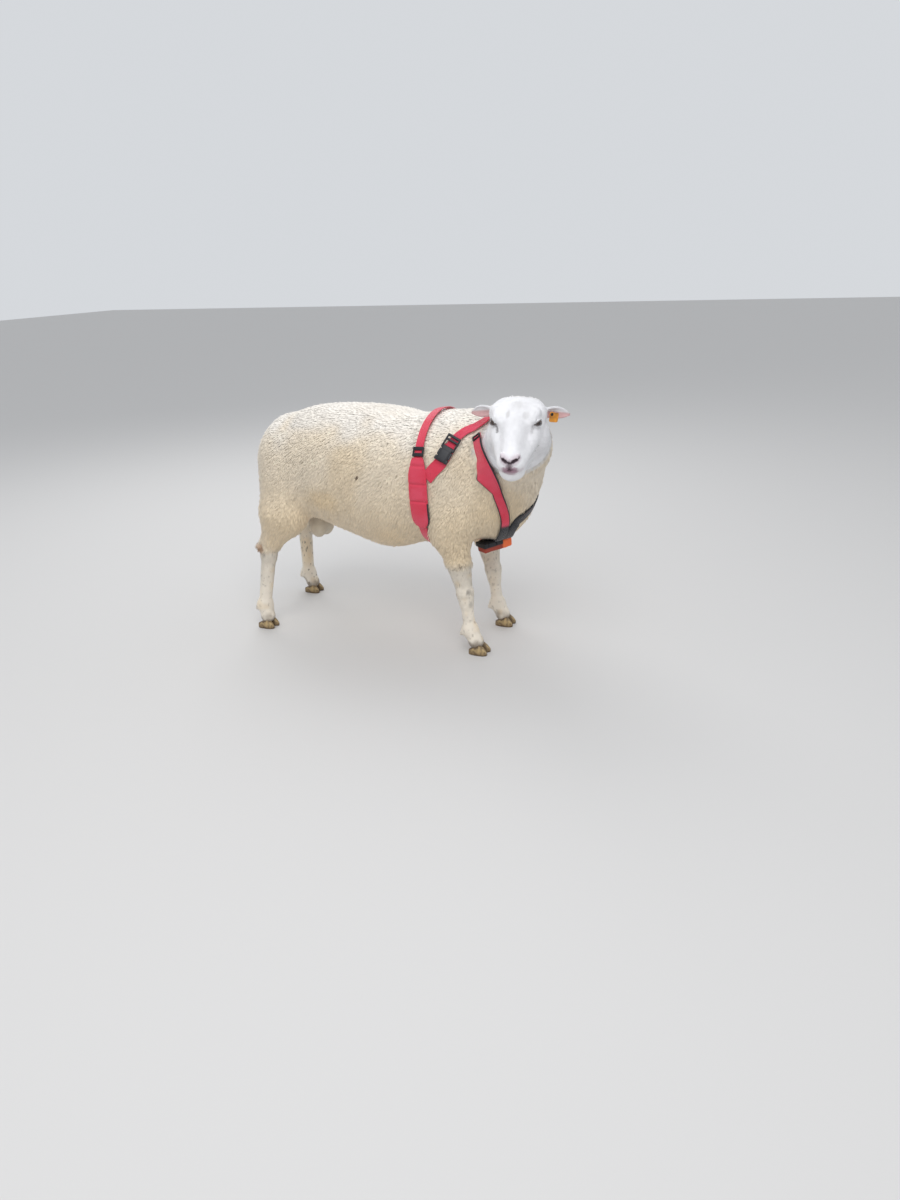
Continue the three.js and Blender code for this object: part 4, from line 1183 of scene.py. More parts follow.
def open_places(p):
    """1 where the head has hair, 0 in its nostrils, mouth and eyes."""
    q = into_head(p)
    half = folded(q)
    shut = np.minimum(nostril(half) - 1.5, mouth(half) - 1.0)
    shut = np.minimum(shut, philtrum(half) - 1.0)
    for side in (RIGHT, LEFT):
        away = np.maximum(eye_opening(half, EYE_OPEN[side]), length(half - EYE_AT) - EYE_RADIUS - 8)
        shut = np.minimum(shut, np.where(q[:, 1] * side > 0, away - 1.2, 99))
    return (shut > 0).astype(float)


def head_hair():
    near = length(skin_middles - HEAD_PLACE) < HEAD_REACH + 10
    density = np.zeros(len(skin_middles))
    there = skin_middles[near]
    out = skin_normals[skin_triangles[near]].mean(1)
    q = into_head(there)
    _, hollow, _ = ear_parts(q, out @ HEAD_AXES)
    muzzle = step_up(q[:, 0], 80, 120)
    from_tip = length(folded(q) - np.array(EAR["tip"]))
    density[near] = (face_weight(there) * open_places(there) * (1 + 0.8 * muzzle) * (1 - 0.6 * hollow)
                     * (from_tip > 7))

    def long(p):
        q = into_head(p)
        return 5.2 - 2.2 * step_up(q[:, 0], 60, 125) + 3.5 * (1 - face_weight(p))

    def wide(p):
        return 1.25 - 0.5 * step_up(into_head(p)[:, 0], 60, 125)
    hair("hair_head", density, HEAD_TUFTS, 11, long, wide)


def leg_hair():
    bag = scrotum_weight(skin_middles)
    density = leg_hair_weight(skin_middles) * (skin_middles[:, 2] > 26) * (bag < 0.3)
    density = np.maximum(density, 0.35 * groin_weight(skin_middles) * (bag < 0.3))
    density = np.maximum(density, 0.12 * bag)

    def long(p):
        return 5.0 + 4.0 * step_up(p[:, 2], 120, 300) - 1.2 * scrotum_weight(p)

    def wide(p):
        return 1.1 + 0.7 * step_up(p[:, 2], 120, 300)
    hair("hair_legs", density, LEG_TUFTS, 21, long, wide)


# ---------------------------------------------------------------------------------------------
# Solids made of rings, blocks and threads


class Gathered:
    """Solids gathered into one piece, each point with its colour and its place on the weave."""

    def __init__(self):
        self.points, self.faces, self.colours, self.weave = [], [], [], []
        self.count = 0

    def add(self, points, faces, colour, weave=None):
        faces = [np.asarray(group) for group in (faces if isinstance(faces, list) else [faces])]
        flip = inside_out(points, faces)
        for group in faces:
            self.faces.append((group[:, ::-1] if flip else group) + self.count)
        self.points.append(points)
        self.colours.append(np.broadcast_to(colour, (len(points), 3)))
        self.weave.append(np.zeros((len(points), 2)) if weave is None else weave)
        self.count += len(points)

    def piece(self, name, slot, made, *nodes):
        piece = new_mesh(name, np.concatenate(self.points), self.faces)
        give_colour(piece, "dye", np.concatenate(self.colours))
        give_map(piece, "weave", np.concatenate(self.weave))
        piece.data.materials.append(made)
        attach(piece, "root")
        if nodes:
            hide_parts(*nodes)


def inside_out(points, faces):
    middle = points.mean(0)
    volume = 0.0
    for group in faces:
        a, b, c = (points[group[:, k]] - middle for k in range(3))
        volume += np.einsum("ij,ij->", a, np.cross(b, c))
        if group.shape[1] == 4:
            volume += np.einsum("ij,ij->", a, np.cross(c, points[group[:, 3]] - middle))
    return volume < 0


def loft(rings):
    """A closed solid through rings of points, shape (rings, around, 3)."""
    count, around = rings.shape[:2]
    index = np.arange(count * around).reshape(count, around)
    after = np.roll(index, -1, axis=1)
    quads = np.stack([index[:-1], after[:-1], after[1:], index[1:]], -1).reshape(-1, 4)
    first, last = np.full(around, count * around), np.full(around, count * around + 1)
    caps = np.concatenate([np.stack([after[0], index[0], first], -1),
                           np.stack([index[-1], after[-1], last], -1)])
    return np.concatenate([rings.reshape(-1, 3), rings[[0, -1]].mean(1)]), [quads, caps]


def lathe(profile):
    """A solid of revolution about z from rows of radius and height."""
    turn = np.arange(28) * 2 * np.pi / 28
    radius, height = np.array(profile, float).T
    rings = np.stack([radius[:, None] * np.cos(turn), radius[:, None] * np.sin(turn),
                      height[:, None] + 0 * turn], -1)
    return loft(rings)


def rounded_block(low, high, radius, spans=1):
    """A box from low to high with rounded edges. spans splits the flat part of its faces."""
    low, high = np.array(low, float), np.array(high, float)
    middle, half = (low + high) / 2, (high - low) / 2
    radius = min(radius, 0.98 * half.min())
    bend = np.array([0, 0.25, 0.6])
    lines = [np.concatenate([bend * radius - h, np.linspace(radius - h, h - radius, spans + 1),
                             h - bend[::-1] * radius]) for h in half]
    count = len(lines[0])
    points, faces = [], []
    for axis in range(3):
        one, two = (axis + 1) % 3, (axis + 2) % 3
        for end in (-1, 1):
            grid = np.zeros((count, count, 3))
            grid[..., one], grid[..., two] = np.meshgrid(lines[one], lines[two], indexing="ij")
            grid[..., axis] = end * half[axis]
            index = np.arange(count**2).reshape(count, count) + count**2 * len(points)
            quads = np.stack([index[:-1, :-1], index[1:, :-1], index[1:, 1:], index[:-1, 1:]], -1)
            faces.append(quads.reshape(-1, 4)[:, ::end])
            points.append(grid.reshape(-1, 3))
    points = np.concatenate(points)
    inner = np.clip(points, radius - half, half - radius)
    points = inner + unit(points - inner) * radius
    unique, where = np.unique(np.round(points, 4), axis=0, return_inverse=True)
    return unique + middle, where.reshape(-1)[np.concatenate(faces)]


class Frame:
    """A place with its own x, y and z directions."""

    def __init__(self, origin, x, y, z):
        self.origin = np.array(origin, float)
        self.axes = np.stack([x, y, z])

    def out(self, points):
        return np.asarray(points, float) @ self.axes + self.origin


def threads(place, ahead, up):
    """Short stitches lying on a surface: one stretched octahedron each."""
    ahead, side, up = 1.3 * ahead, 0.4 * unit(np.cross(ahead, up)), 0.55 * up
    points = np.stack([place + arm for arm in (ahead, side, -ahead, -side, up, -up)], 1)
    ring = [(0, 1, 4), (1, 2, 4), (2, 3, 4), (3, 0, 4), (1, 0, 5), (2, 1, 5), (3, 2, 5), (0, 3, 5)]
    faces = (np.arange(len(place))[:, None, None] * 6 + np.array(ring)).reshape(-1, 3)
    return points.reshape(-1, 3), faces


# ---------------------------------------------------------------------------------------------
# The harness: dimensions as in the CAD, and its paths over the coat

LIE = 2.0
WEBBING = dict(width=27, outer=LIE + 3.4, inner=LIE)
GIRTH = dict(x=240, z=530, slide=33, sleeve_from=28, sleeve_to=-36, under_width=30)
SLEEVE = dict(top=32, width=56, outer=LIE + 9, inner=LIE)
COLLAR = dict(top=26, wide=60, narrow=27, outer=LIE + 7, inner=LIE)
YOKE_LOW_WIDTH = 38
BUCKLE = dict(start=0.091, window=0.161, bar=0.18, end=0.208, width=44, outer=LIE + 13)
RING = dict(width=30, start=0.006, end=0.038, outer=LIE + 11)
SUNK = dict(start=0.34, end=0.86, by=7)
BREAST_WIDTH = 36
YOKE = [(268, -186, 566), (290, -182, 592), (311, -176, 614), (332, -156, 654), (345, -142, 678),
        (370, -122, 699), (402, -112, 712), (430, -98, 724), (444, -66, 742), (446, 0, 757)]
COLLAR_RIGHT = [(424, -135, 695), (436, -152, 664), (452, -156, 628), (468, -152, 592),
                (478, -144, 560), (486, -134, 520), (491, -116, 482), (491, -97, 440),
                (476, -76, 404), (450, -48, 372)]
COLLAR_LEFT = [(424, 135, 695), (436, 152, 664), (452, 156, 628), (468, 152, 592), (484, 140, 560),
               (504, 110, 528), (522, 66, 498), (526, 12, 474), (515, -44, 452), (498, -76, 428),
               (478, -76, 400), (452, -48, 372)]
BREAST_STRAP = [(410, -26, 330), (370, -16, 322), (320, -8, 314), (266, 0, 306)]
CRAYON = dict(at=(424, -42, 334), along=(0.53, 0.85, 0.05), size=(106, 40, 27))
HOLDER = dict(reach=68, over=3, depth=10.5)
SLEEVE_SEAMS = (0.10, 0.35, 0.60)  # sewn lines across each sleeve
STITCH = 4.0  # from one stitch to the next
BINDING = 2.0  # half the width of the sewn edges
ON_WEBBING = WEBBING["outer"] + 0.5
GIRTH_PULLS = 900  # rounds of drawing the girth straight over hollows

RED = srgb(228, 44, 74)
FADED = srgb(240, 98, 126)
BLACK_DYE = srgb(25, 26, 32)
THREAD = srgb(170, 40, 54)


def on_coat(start, way):
    """Where rays from inside leave the coat, and the way that its surface faces there."""
    way = unit(way)
    reach = np.arange(0, 421, 12.0)
    places = start[:, None] + way[:, None] * reach[:, None]
    inside = coat_surface(places.reshape(-1, 3)).reshape(len(start), -1) < 0
    low = reach[len(reach) - 1 - inside[:, ::-1].argmax(1)]
    high = low + 12
    for _ in range(12):
        middle = (low + high) / 2
        within_it = coat_surface(start + way * middle[:, None]) < 0
        low, high = np.where(within_it, middle, low), np.where(within_it, high, middle)
    at = start + way * low[:, None]
    return at, unit(slope(lambda p: smooth_union(torso(p), outer_head(p), 22), at, 6)[1])


def curve(places, count):
    """Evenly spaced points on a smooth curve through the places."""
    p = np.array(places, float)
    p = np.concatenate([[2 * p[0] - p[1]], p, [2 * p[-1] - p[-2]]])
    gaps = np.maximum(length(np.diff(p, axis=0)) ** 0.5, 1e-3)
    t = np.linspace(0, 1, 40, endpoint=False)[:, None]
    drawn = []
    for i in range(1, len(p) - 2):
        before, span, after = gaps[i - 1:i + 2]
        start = ((p[i] - p[i - 1]) / before - (p[i + 1] - p[i - 1]) / (before + span)
                 + (p[i + 1] - p[i]) / span) * span
        end = ((p[i + 1] - p[i]) / span - (p[i + 2] - p[i]) / (span + after)
               + (p[i + 2] - p[i + 1]) / after) * span
        drawn.append((2 * t**3 - 3 * t**2 + 1) * p[i] + (t**3 - 2 * t**2 + t) * start
                     + (3 * t**2 - 2 * t**3) * p[i + 1] + (t**3 - t**2) * end)
    drawn = np.concatenate(drawn + [p[-2:-1]])
    walked = walked_along(drawn)
    return interpolated(np.linspace(0, walked[-1], count + 1), walked, drawn)


class Path:
    """Points along a strap, with the directions along it, across it and out of the coat."""

    def __init__(self, at, out):
        self.at = at
        ahead = np.concatenate([at[1:2] - at[:1], at[2:] - at[:-2], at[-1:] - at[-2:-1]])
        self.ahead = unit(ahead)
        self.side = unit(np.cross(self.ahead, out))
        self.up = np.cross(self.side, self.ahead)
        self.walked = walked_along(at)
        self.t = np.linspace(0, 1, len(at))

    def frame(self, t, shift=0.0):
        """The frame at a share of the path, shift across it."""
        at, ahead, side, up = (interpolated(t, self.t, v) for v in (self.at, self.ahead, self.side, self.up))
        x = unit(ahead)
        z = unit(up - up @ x * x)
        return Frame(at + side * shift, x, np.cross(z, x), z)


def laid(places, count):
    drawn = curve(places, count)
    start = np.stack([np.minimum(drawn[:, 0], 400), 0 * drawn[:, 0], 0 * drawn[:, 0] + 560], -1)
    return on_coat(start, drawn - start)


def girth_path(first, last, count, side=RIGHT):
    """Round the girth, on the coat where it bulges and straight over its hollows."""
    angles = np.radians(np.linspace(first, last, count + 1))
    centre = np.array([GIRTH["x"], 0, GIRTH["z"]], float)
    way = np.stack([0 * angles, side * np.cos(angles), np.sin(angles)], -1)
    at, out = on_coat(np.tile(centre, (len(way), 1)), way)
    reach = length(at - centre)
    step = angles[1] - angles[0]
    for _ in range(GIRTH_PULLS):
        straight = (reach[:-2] + reach[2:]) / 2 * math.cos(step)
        reach[1:-1] = np.maximum(reach[1:-1], straight)
    return Path(centre + way * reach[:, None], out)


def sunk_path(at, out):
    t = (np.linspace(0, 1, len(at)) - SUNK["start"]) / (SUNK["end"] - SUNK["start"])
    deep = SUNK["by"] * np.sin(np.pi * np.clip(t, 0, 1)) ** 0.6
    return Path(at - out * deep[:, None], out)


YOKE_PATH = Path(*laid(YOKE + [(x, -y, z) for x, y, z in YOKE[-2::-1]], 150))
COLLAR_PATHS = {RIGHT: Path(*laid(COLLAR_RIGHT, 90)), LEFT: sunk_path(*laid(COLLAR_LEFT, 100))}
SLEEVE_PATHS = {side: girth_path(GIRTH["sleeve_from"], GIRTH["sleeve_to"], 70, side)
                for side in (RIGHT, LEFT)}
GIRTH_TOP_PATH = girth_path(GIRTH["sleeve_from"] - 1, 181 - GIRTH["sleeve_from"], 80)
GIRTH_UNDER_PATH = girth_path(GIRTH["sleeve_to"] + 2, -182 - GIRTH["sleeve_to"], 60)
BREAST_PATH = Path(*laid(BREAST_STRAP, 30))


def sleeve_width(t):
    full = SLEEVE["top"] + (SLEEVE["width"] - SLEEVE["top"]) * np.minimum(t / 0.22, 1) ** 0.7
    return full * np.sqrt(1 - 0.97 * (np.maximum(t - 0.86, 0) / 0.14) ** 2)


def collar_width(t):
    wide, narrow = COLLAR["wide"], COLLAR["narrow"]
    panel = np.minimum(COLLAR["top"] + (wide - COLLAR["top"]) * t / 0.3,
                       narrow + (wide - narrow) * (0.48 - t) / 0.12)
    return np.maximum(panel, narrow)


def yoke_width(t):
    low = np.abs(t - 0.5) > 0.5 - BUCKLE["window"]
    return np.where(low, YOKE_LOW_WIDTH, WEBBING["width"])


class Band:
    """A strap along a path: where its surface is, and its rings of points."""

    def __init__(self, path, width, sizes, lean=0, soft=False, seams=()):
        self.path, self.inner, self.lean = path, sizes["inner"], lean
        self.width = width(path.t) if callable(width) else np.full(len(path.t), float(width))
        self.height = np.full(len(path.t), float(sizes["outer"] - self.inner))
        for seam in seams:
            self.height *= 1 - 0.42 * np.exp(-(((path.t - seam) / 0.014) ** 2))
        self.box, self.crown = (0.36, 0.72) if soft else (0.14, 0.5)

    def middle(self):
        return self.path.at + self.path.side * (self.lean * self.width / 2)[:, None]

    def rings(self):
        turn = (np.arange(28) + 0.5) * 2 * np.pi / 28
        across = np.sign(np.cos(turn)) * np.abs(np.cos(turn)) ** self.box
        lift = np.sign(np.sin(turn)) * np.abs(np.sin(turn)) ** self.crown
        s = across * (self.width / 2)[:, None]
        h = self.inner + self.height[:, None] * (1 + lift) / 2
        points = (self.middle()[:, None] + self.path.side[:, None] * s[..., None]
                  + self.path.up[:, None] * h[..., None])
        weave = np.stack([np.broadcast_to(self.path.walked[:, None], s.shape), s], -1)
        return points, weave.reshape(-1, 2)

    def spot(self, t, share):
        """The place on the outer face at a share of the length and of half the width."""
        rise = np.maximum(1 - np.abs(share) ** (2 / self.box), 0) ** (self.crown / 2)
        path = self.path
        at, side, up = (interpolated(t, path.t, v) for v in (self.middle(), path.side, path.up))
        half = np.interp(t, path.t, self.width) / 2
        high = self.inner + np.interp(t, path.t, self.height) * (1 + rise) / 2
        return at + side * (share * half)[:, None] + up * high[:, None], up


def faded(points):
    """Webbing's colour: faded and rubbed in patches."""
    share = 0.22 + 0.3 * noise(points, 34, 61) + 0.14 * noise(points, 7, 62)
    return stained(RED, FADED, share)


def add_band(build, band, black=None):
    """A band in red, or in black where black, a function of the share along, says so."""
    rings, weave = band.rings()
    points, faces = loft(rings)
    colour = faded(points)
    if black is not None:
        along = np.append(np.repeat(band.path.t, rings.shape[1]), [0, 1])
        colour = stained(colour, BLACK_DYE, black(along))
    build.add(points, faces, colour, np.concatenate([weave, weave[[0, -1]]]))


def add_binding(build, band, edge, black, last=1.0):
    """A sewn edge along one side of a band, up to a share of its length: edge is -1 or 1."""
    path = band.path
    kept = path.t <= last
    middle = band.middle() + path.side * (edge * (band.width / 2 - 0.4))[:, None]
    middle = middle + path.up * (band.inner + band.height * 0.5)[:, None]
    turn = np.arange(10) * 2 * np.pi / 10
    wide, high = BINDING * np.cos(turn), np.sin(turn) * (0.5 + band.height[:, None] * 0.36)
    points = (middle[:, None] + path.side[:, None] * wide[:, None]
              + path.up[:, None] * high[..., None])
    points, faces = loft(points[kept])
    along = np.append(np.repeat(path.t[kept], 10), [0, last])
    colour = stained(faded(points), BLACK_DYE, black(along))
    build.add(points, faces, colour)


def add_seam(build, band, t, share):
    """A row of stitches through places on a band: shares of its length and half width."""
    place, up = band.spot(t, share)
    ahead = unit(np.diff(place, axis=0))
    walked = walked_along(place)
    stops = np.arange(1.5, walked[-1] - 1, STITCH)
    i = np.minimum(np.searchsorted(walked, stops), len(ahead)) - 1
    points, faces = threads(interpolated(stops, walked, place), ahead[i], up[i])
    build.add(points, faces, THREAD)


def add_edge_seams(build, band, first, last, share):
    t = np.linspace(first, last, 60)
    for edge in (-share, share):
        add_seam(build, band, t, np.full(60, edge))


def add_box_seam(build, band, t, reach):
    """A sewn box with a cross in it."""
    a, b, c, d = ((t + x * reach, y * 0.8) for x, y in ((-1, -1), (1, -1), (-1, 1), (1, 1)))
    for (t0, s0), (t1, s1) in ((a, b), (c, d), (a, c), (b, d), (a, d), (c, b)):
        add_seam(build, band, np.linspace(t0, t1, 24), np.linspace(s0, s1, 24))


BANDS = {
    "sleeve_right": Band(SLEEVE_PATHS[RIGHT], sleeve_width, SLEEVE, soft=True, seams=SLEEVE_SEAMS),
    "sleeve_left": Band(SLEEVE_PATHS[LEFT], sleeve_width, SLEEVE, soft=True, seams=SLEEVE_SEAMS),
    "girth_top": Band(GIRTH_TOP_PATH, WEBBING["width"], WEBBING),
    "girth_under": Band(GIRTH_UNDER_PATH, GIRTH["under_width"], WEBBING),
    "yoke": Band(YOKE_PATH, yoke_width, WEBBING),
    "collar_right": Band(COLLAR_PATHS[RIGHT], collar_width, COLLAR, lean=1, soft=True),
    "collar_left": Band(COLLAR_PATHS[LEFT], collar_width, COLLAR, lean=-1, soft=True),
    "breast_strap": Band(BREAST_PATH, BREAST_WIDTH, WEBBING),
}


def harness_tree():
    points, faces, count = [], [], 0
    for band in BANDS.values():
        rings, _ = band.rings()
        solid, (quads, _) = loft(rings)
        points.extend(solid.tolist())
        faces.extend((quads + count).tolist())
        count += len(solid)
    return BVHTree.FromPolygons(points, faces)


def webbing_material():
    """Woven nylon: a fine rib along and across the strap."""
    made = new_material("webbing", 0.62, Sheen_Weight=0.35, Sheen_Roughness=0.4)
    dye = add_node(made, "ShaderNodeAttribute", {"attribute_name": "dye"})
    place = add_node(made, "ShaderNodeUVMap", {"uv_map": "weave"})
    rib = add_node(made, "ShaderNodeTexWave", {"bands_direction": "X"}, Scale=0.26, Distortion=0.4)
    cord = add_node(made, "ShaderNodeTexWave", {"bands_direction": "Y"}, Scale=0.2, Distortion=0.4)
    woven = add_node(made, "ShaderNodeMath", {"operation": "MULTIPLY"})
    link(made, place.outputs["UV"], rib.inputs["Vector"])
    link(made, place.outputs["UV"], cord.inputs["Vector"])
    link(made, rib.outputs["Fac"], woven.inputs[0])
    link(made, cord.outputs["Fac"], woven.inputs[1])
    shade = add_node(made, "ShaderNodeMix", {"data_type": "RGBA", "blend_type": "MULTIPLY"})
    shade.inputs["Factor"].default_value = 0.35
    link(made, dye.outputs["Color"], shade.inputs["A"])
    lighter = add_node(made, "ShaderNodeMapRange", To_Min=0.55, To_Max=1.1)
    link(made, woven.outputs["Value"], lighter.inputs["Value"])
    link(made, lighter.outputs["Result"], shade.inputs["B"])
    link(made, shade.outputs["Result"], shader_of(made).inputs["Base Color"])
    bumpy(made, woven.outputs["Value"], 0.0006, 0.7)
    return made


def straps():
    made = webbing_material()
    for hand, side in HANDS:
        build, band = Gathered(), BANDS[f"sleeve_{hand}"]
        add_band(build, band)
        for edge in (-1, 1):
            black = edge * side > 0 if side == LEFT else edge < 0
            add_binding(build, band, edge, lambda t: black * step_up(t, 0.60, 0.64) * (t < 0.97),
                        last=0.975)
        for seam in SLEEVE_SEAMS:
            add_seam(build, band, np.full(20, seam), np.linspace(-0.86, 0.86, 20))
        add_edge_seams(build, band, 0.1, 0.9, 0.80)
        build.piece(f"harness_sleeve_{hand}_padding", "harness_webbing", made, f"harness_sleeve_{hand}")

        build, band = Gathered(), BANDS[f"collar_{hand}"]
        turns_black = (0.80, 0.83) if side == RIGHT else (0.50, 0.56)
        add_band(build, band, lambda t: step_up(t, *turns_black))
        add_binding(build, band, side, lambda t: step_up(t, 0.02, 0.05))
        add_binding(build, band, -side, lambda t: step_up(t, 0.29, 0.31))
        add_edge_seams(build, band, 0.05, 0.78, 0.74)
        build.piece(f"harness_collar_{hand}_padding", "harness_webbing", made, f"harness_collar_{hand}")

    boxes = {"yoke": [(0.03, 0.018), (0.97, 0.018)], "girth_top": [(0.035, 0.02), (0.965, 0.02)]}
    for name in ("girth_top", "girth_under", "yoke", "breast_strap"):
        build, band = Gathered(), BANDS[name]
        add_band(build, band)
        for t, reach in boxes.get(name, []):
            add_box_seam(build, band, t, reach)
        if name == "yoke":
            for a, b in ((0.055, 0.09), (0.91, 0.945)):
                add_edge_seams(build, band, a, b, 0.85)
        build.piece(f"harness_{name}_webbing", "harness_webbing", made, f"harness_{name}")


# ---------------------------------------------------------------------------------------------
# The harness's hard pieces


def moulded_material(name, roughness):
    made = new_material(name, roughness, Specular_IOR_Level=0.45)
    colour_from(made, "dye")
    bumpy(made, grain(made, 0.0009, 2.0), 0.00025, 0.5)
    return made


def add_block(build, frame, corner, opposite, radius, colour=BLACK_DYE):
    """A rounded block between two opposite corners."""
    points, faces = rounded_block(np.minimum(corner, opposite), np.maximum(corner, opposite), radius)
    shade = 1 + 0.12 * noise(points, 9, 71)[:, None]
    build.add(frame.out(points), faces, np.asarray(colour) * shade)


def slide_on(build, frame, long, wide, low, high, bar):
    """A flat frame round webbing: two bars across it and two rails along it."""
    x, y = long / 2, wide / 2
    for end in (-1, 1):
        add_block(build, frame, (end * x, -y, low), (end * (x - bar), y, high), 1.5)
        add_block(build, frame, (1 - x, end * y, low + 0.3), (x - 1, end * (y - 4.6), high - 0.3), 1.3)


def buckle_on(build, path, side):
    """A side-release buckle: socket, the clip's two arms showing at its sides, and the clip's bar."""
    shares = [BUCKLE["start"], BUCKLE["window"], BUCKLE["bar"], BUCKLE["end"]]
    total = path.walked[-1]
    middle = (shares[0] + shares[3]) / 2
    frame = path.frame(middle if side == RIGHT else 1 - middle)
    if side == LEFT:
        frame.axes[:2] *= -1
    start, window, bar, end = ((share - middle) * total for share in shares)
    low, high, half = ON_WEBBING + 1.6, BUCKLE["outer"], BUCKLE["width"] / 2
    body_end = window - 1
    add_block(build, frame, (start, 5 - half, low), (body_end, half - 5, high), 3.2)
    add_block(build, frame, (start, -half, low), (start + 13, half, high - 0.6), 2.6)
    add_block(build, frame, (body_end - 11, -half, low), (body_end, half, high - 0.6), 2.6)
    add_block(build, frame, (start + 4, 9 - half, high - 2), (body_end - 13, half - 9, high + 0.9), 1.6)
    for way in (-1, 1):
        add_block(build, frame, (start + 15, way * (half - 9), low + 1),
                  (body_end - 13, way * (half - 0.5), high - 1.6), 2.2, BLACK_DYE * 1.6)
        add_block(build, frame, (body_end - 2, way * (half - 5), low),
                  (end - 2, way * half, high - 1.4), 2.0)
    add_block(build, frame, (bar, -half, low), (bar + 7, half, high - 0.4), 2.6)
    add_block(build, frame, (end - 8, -half, low), (end, half, high - 1), 2.6)


def fittings():
    plastic = moulded_material("harness_plastic", 0.42)
    for hand, side in HANDS:
        build = Gathered()
        path = girth_path(GIRTH["slide"] - 5, GIRTH["slide"] + 5, 10, side)
        slide_on(build, path.frame(0.5), 29, 36, ON_WEBBING - 1.5, ON_WEBBING + 4, 10.5)
        build.piece(f"harness_slide_{hand}_frame", "harness_plastic", plastic, f"harness_slide_{hand}")
        build = Gathered()
        buckle_on(build, YOKE_PATH, side)
        build.piece(f"harness_buckle_{hand}_clip", "harness_plastic", plastic, f"harness_buckle_{hand}")
        build = Gathered()
        path = COLLAR_PATHS[side]
        frame = path.frame((RING["start"] + RING["end"]) / 2, 0.42 * RING["width"] * -side)
        slide_on(build, frame, 13, RING["width"], COLLAR["outer"] - 3, RING["outer"], 3.6)
        build.piece(f"harness_ring_{hand}_loop", "harness_plastic", plastic, f"harness_ring_{hand}")


def crayon_frame():
    along = unit(np.array(CRAYON["along"], float))
    across = unit(np.cross([0, 0, 1], along))
    return Frame(CRAYON["at"], along, across, np.cross(along, across))


def crayon_and_holder():
    frame = crayon_frame()
    long, wide, tall = (v / 2 for v in CRAYON["size"])
    over, reach = HOLDER["over"], HOLDER["reach"] - long
    points, faces = rounded_block((-long, -wide, -tall), (long, wide, tall), 5, spans=26)
    worn = noise(points, 14, 83) + 0.5 * noise(points, 5, 84)
    points = points + np.array([0, 0, 1.2]) * (worn * (points[:, 2] < 0))[:, None]
    # Painted shade: the length of the crayon that the holder covers is painted darker.
    crayon_orange, shaded_under_holder = srgb(240, 112, 58), srgb(150, 56, 38)
    colour = stained(shaded_under_holder, crayon_orange, step_up(points[:, 0], reach - 2, reach + 3))
    build = Gathered()
    build.add(frame.out(points), faces, colour * (1 + 0.12 * worn)[:, None])
    wax = new_material("crayon_wax", 0.55, Subsurface_Weight=0.08, Subsurface_Radius=(0.004, 0.002, 0.001))
    colour_from(wax, "dye")
    bumpy(wax, grain(wax, 0.004, 6.0), 0.0008, 0.6)
    build.piece("harness_crayon_block", "crayon", wax, "harness_crayon")

    build = Gathered()
    back, low, high = -long - over - 0.5, tall - HOLDER["depth"], tall + over + 0.5
    side = wide + over + 0.5
    add_block(build, frame, (back, -side, tall + 0.5), (reach, side, high), 1.4)
    for way in (-1, 1):
        add_block(build, frame, (back, way * side, low), (reach, way * (wide + 0.5), high - 0.4), 1.4)
        for x in (-34, -4):
            add_block(build, frame, (x - 8, way * (side - 1), low + 3),
                      (x + 8, way * (side + 2.2), high + 0.6), 1.6, BLACK_DYE * 0.8)
    add_block(build, frame, (back, -side, low), (-long - 0.5, side, high - 0.4), 1.4)
    for x in (-34, -4):
        add_block(build, frame, (x - 8, -side - 1, high - 1), (x + 8, side + 1, high + 1.6), 1.4,
                  BLACK_DYE * 0.8)
    build.piece("harness_crayon_case", "harness_plastic", moulded_material("crayon_case", 0.5),
                "harness_crayon_holder")


# ---------------------------------------------------------------------------------------------
# Ear tag, eyes and claws

TAG = dict(along=0.41, drop=9, ahead=5, size=(27, 28, 1.8), stud=(-8, -9, 4.5, 4))


def ear_tag():
    place, axis, facing, drop = ear_place(TAG["along"])
    origin = place + drop * TAG["drop"] + facing * TAG["ahead"]
    frame = Frame(out_of_head(origin), HEAD_AXES @ drop, HEAD_AXES @ axis, HEAD_AXES @ facing)
    tall, wide, thick = (v / 2 for v in TAG["size"])
    turn = np.arange(56) * 2 * np.pi / 56
    rim = np.stack([np.sign(np.cos(turn)) * np.abs(np.cos(turn)) ** 0.34 * tall,
                    np.sign(np.sin(turn)) * np.abs(np.sin(turn)) ** 0.34 * wide], -1)
    rings = [np.column_stack([rim * share, np.full(56, height)]) for share, height in (
        (0.5, -thick), (0.965, -thick), (1, -thick * 0.4), (1, thick * 0.4), (0.965, thick), (0.94, thick),
        (0.93, thick * 0.72), (0.5, thick * 0.72))]
    points, faces = loft(np.array(rings))
    bow = 0.9 * (points[:, 0] / tall) ** 2 * (points[:, 0] > 0)
    points = points + np.array([0, 0, 1]) * bow[:, None]
    build = Gathered()
    amber = stained(srgb(228, 152, 48), srgb(150, 96, 44), 0.35 + 0.5 * noise(points, 7, 91))
    build.add(frame.out(points), faces, amber)
    down, out, radius, height = TAG["stud"]
    collar, collar_faces = lathe([(radius + 2.6, 0.2), (radius + 2.4, 1.3), (radius + 1.4, 1.6), (0.5, 1.6)])
    build.add(frame.out(collar + [down, out, 0]), collar_faces, srgb(214, 140, 44))
    stud, stud_faces = lathe([(radius, 0.8), (radius, height - 1.4), (radius * 0.86, height - 0.5),
                              (radius * 0.5, height), (0.3, height)])
    build.add(frame.out(stud + [down, out, 0]), stud_faces, srgb(28, 28, 32))
    build.piece("ear_tag_plate", "tag_plastic", moulded_material("tag_plastic", 0.38), "ear_tag")


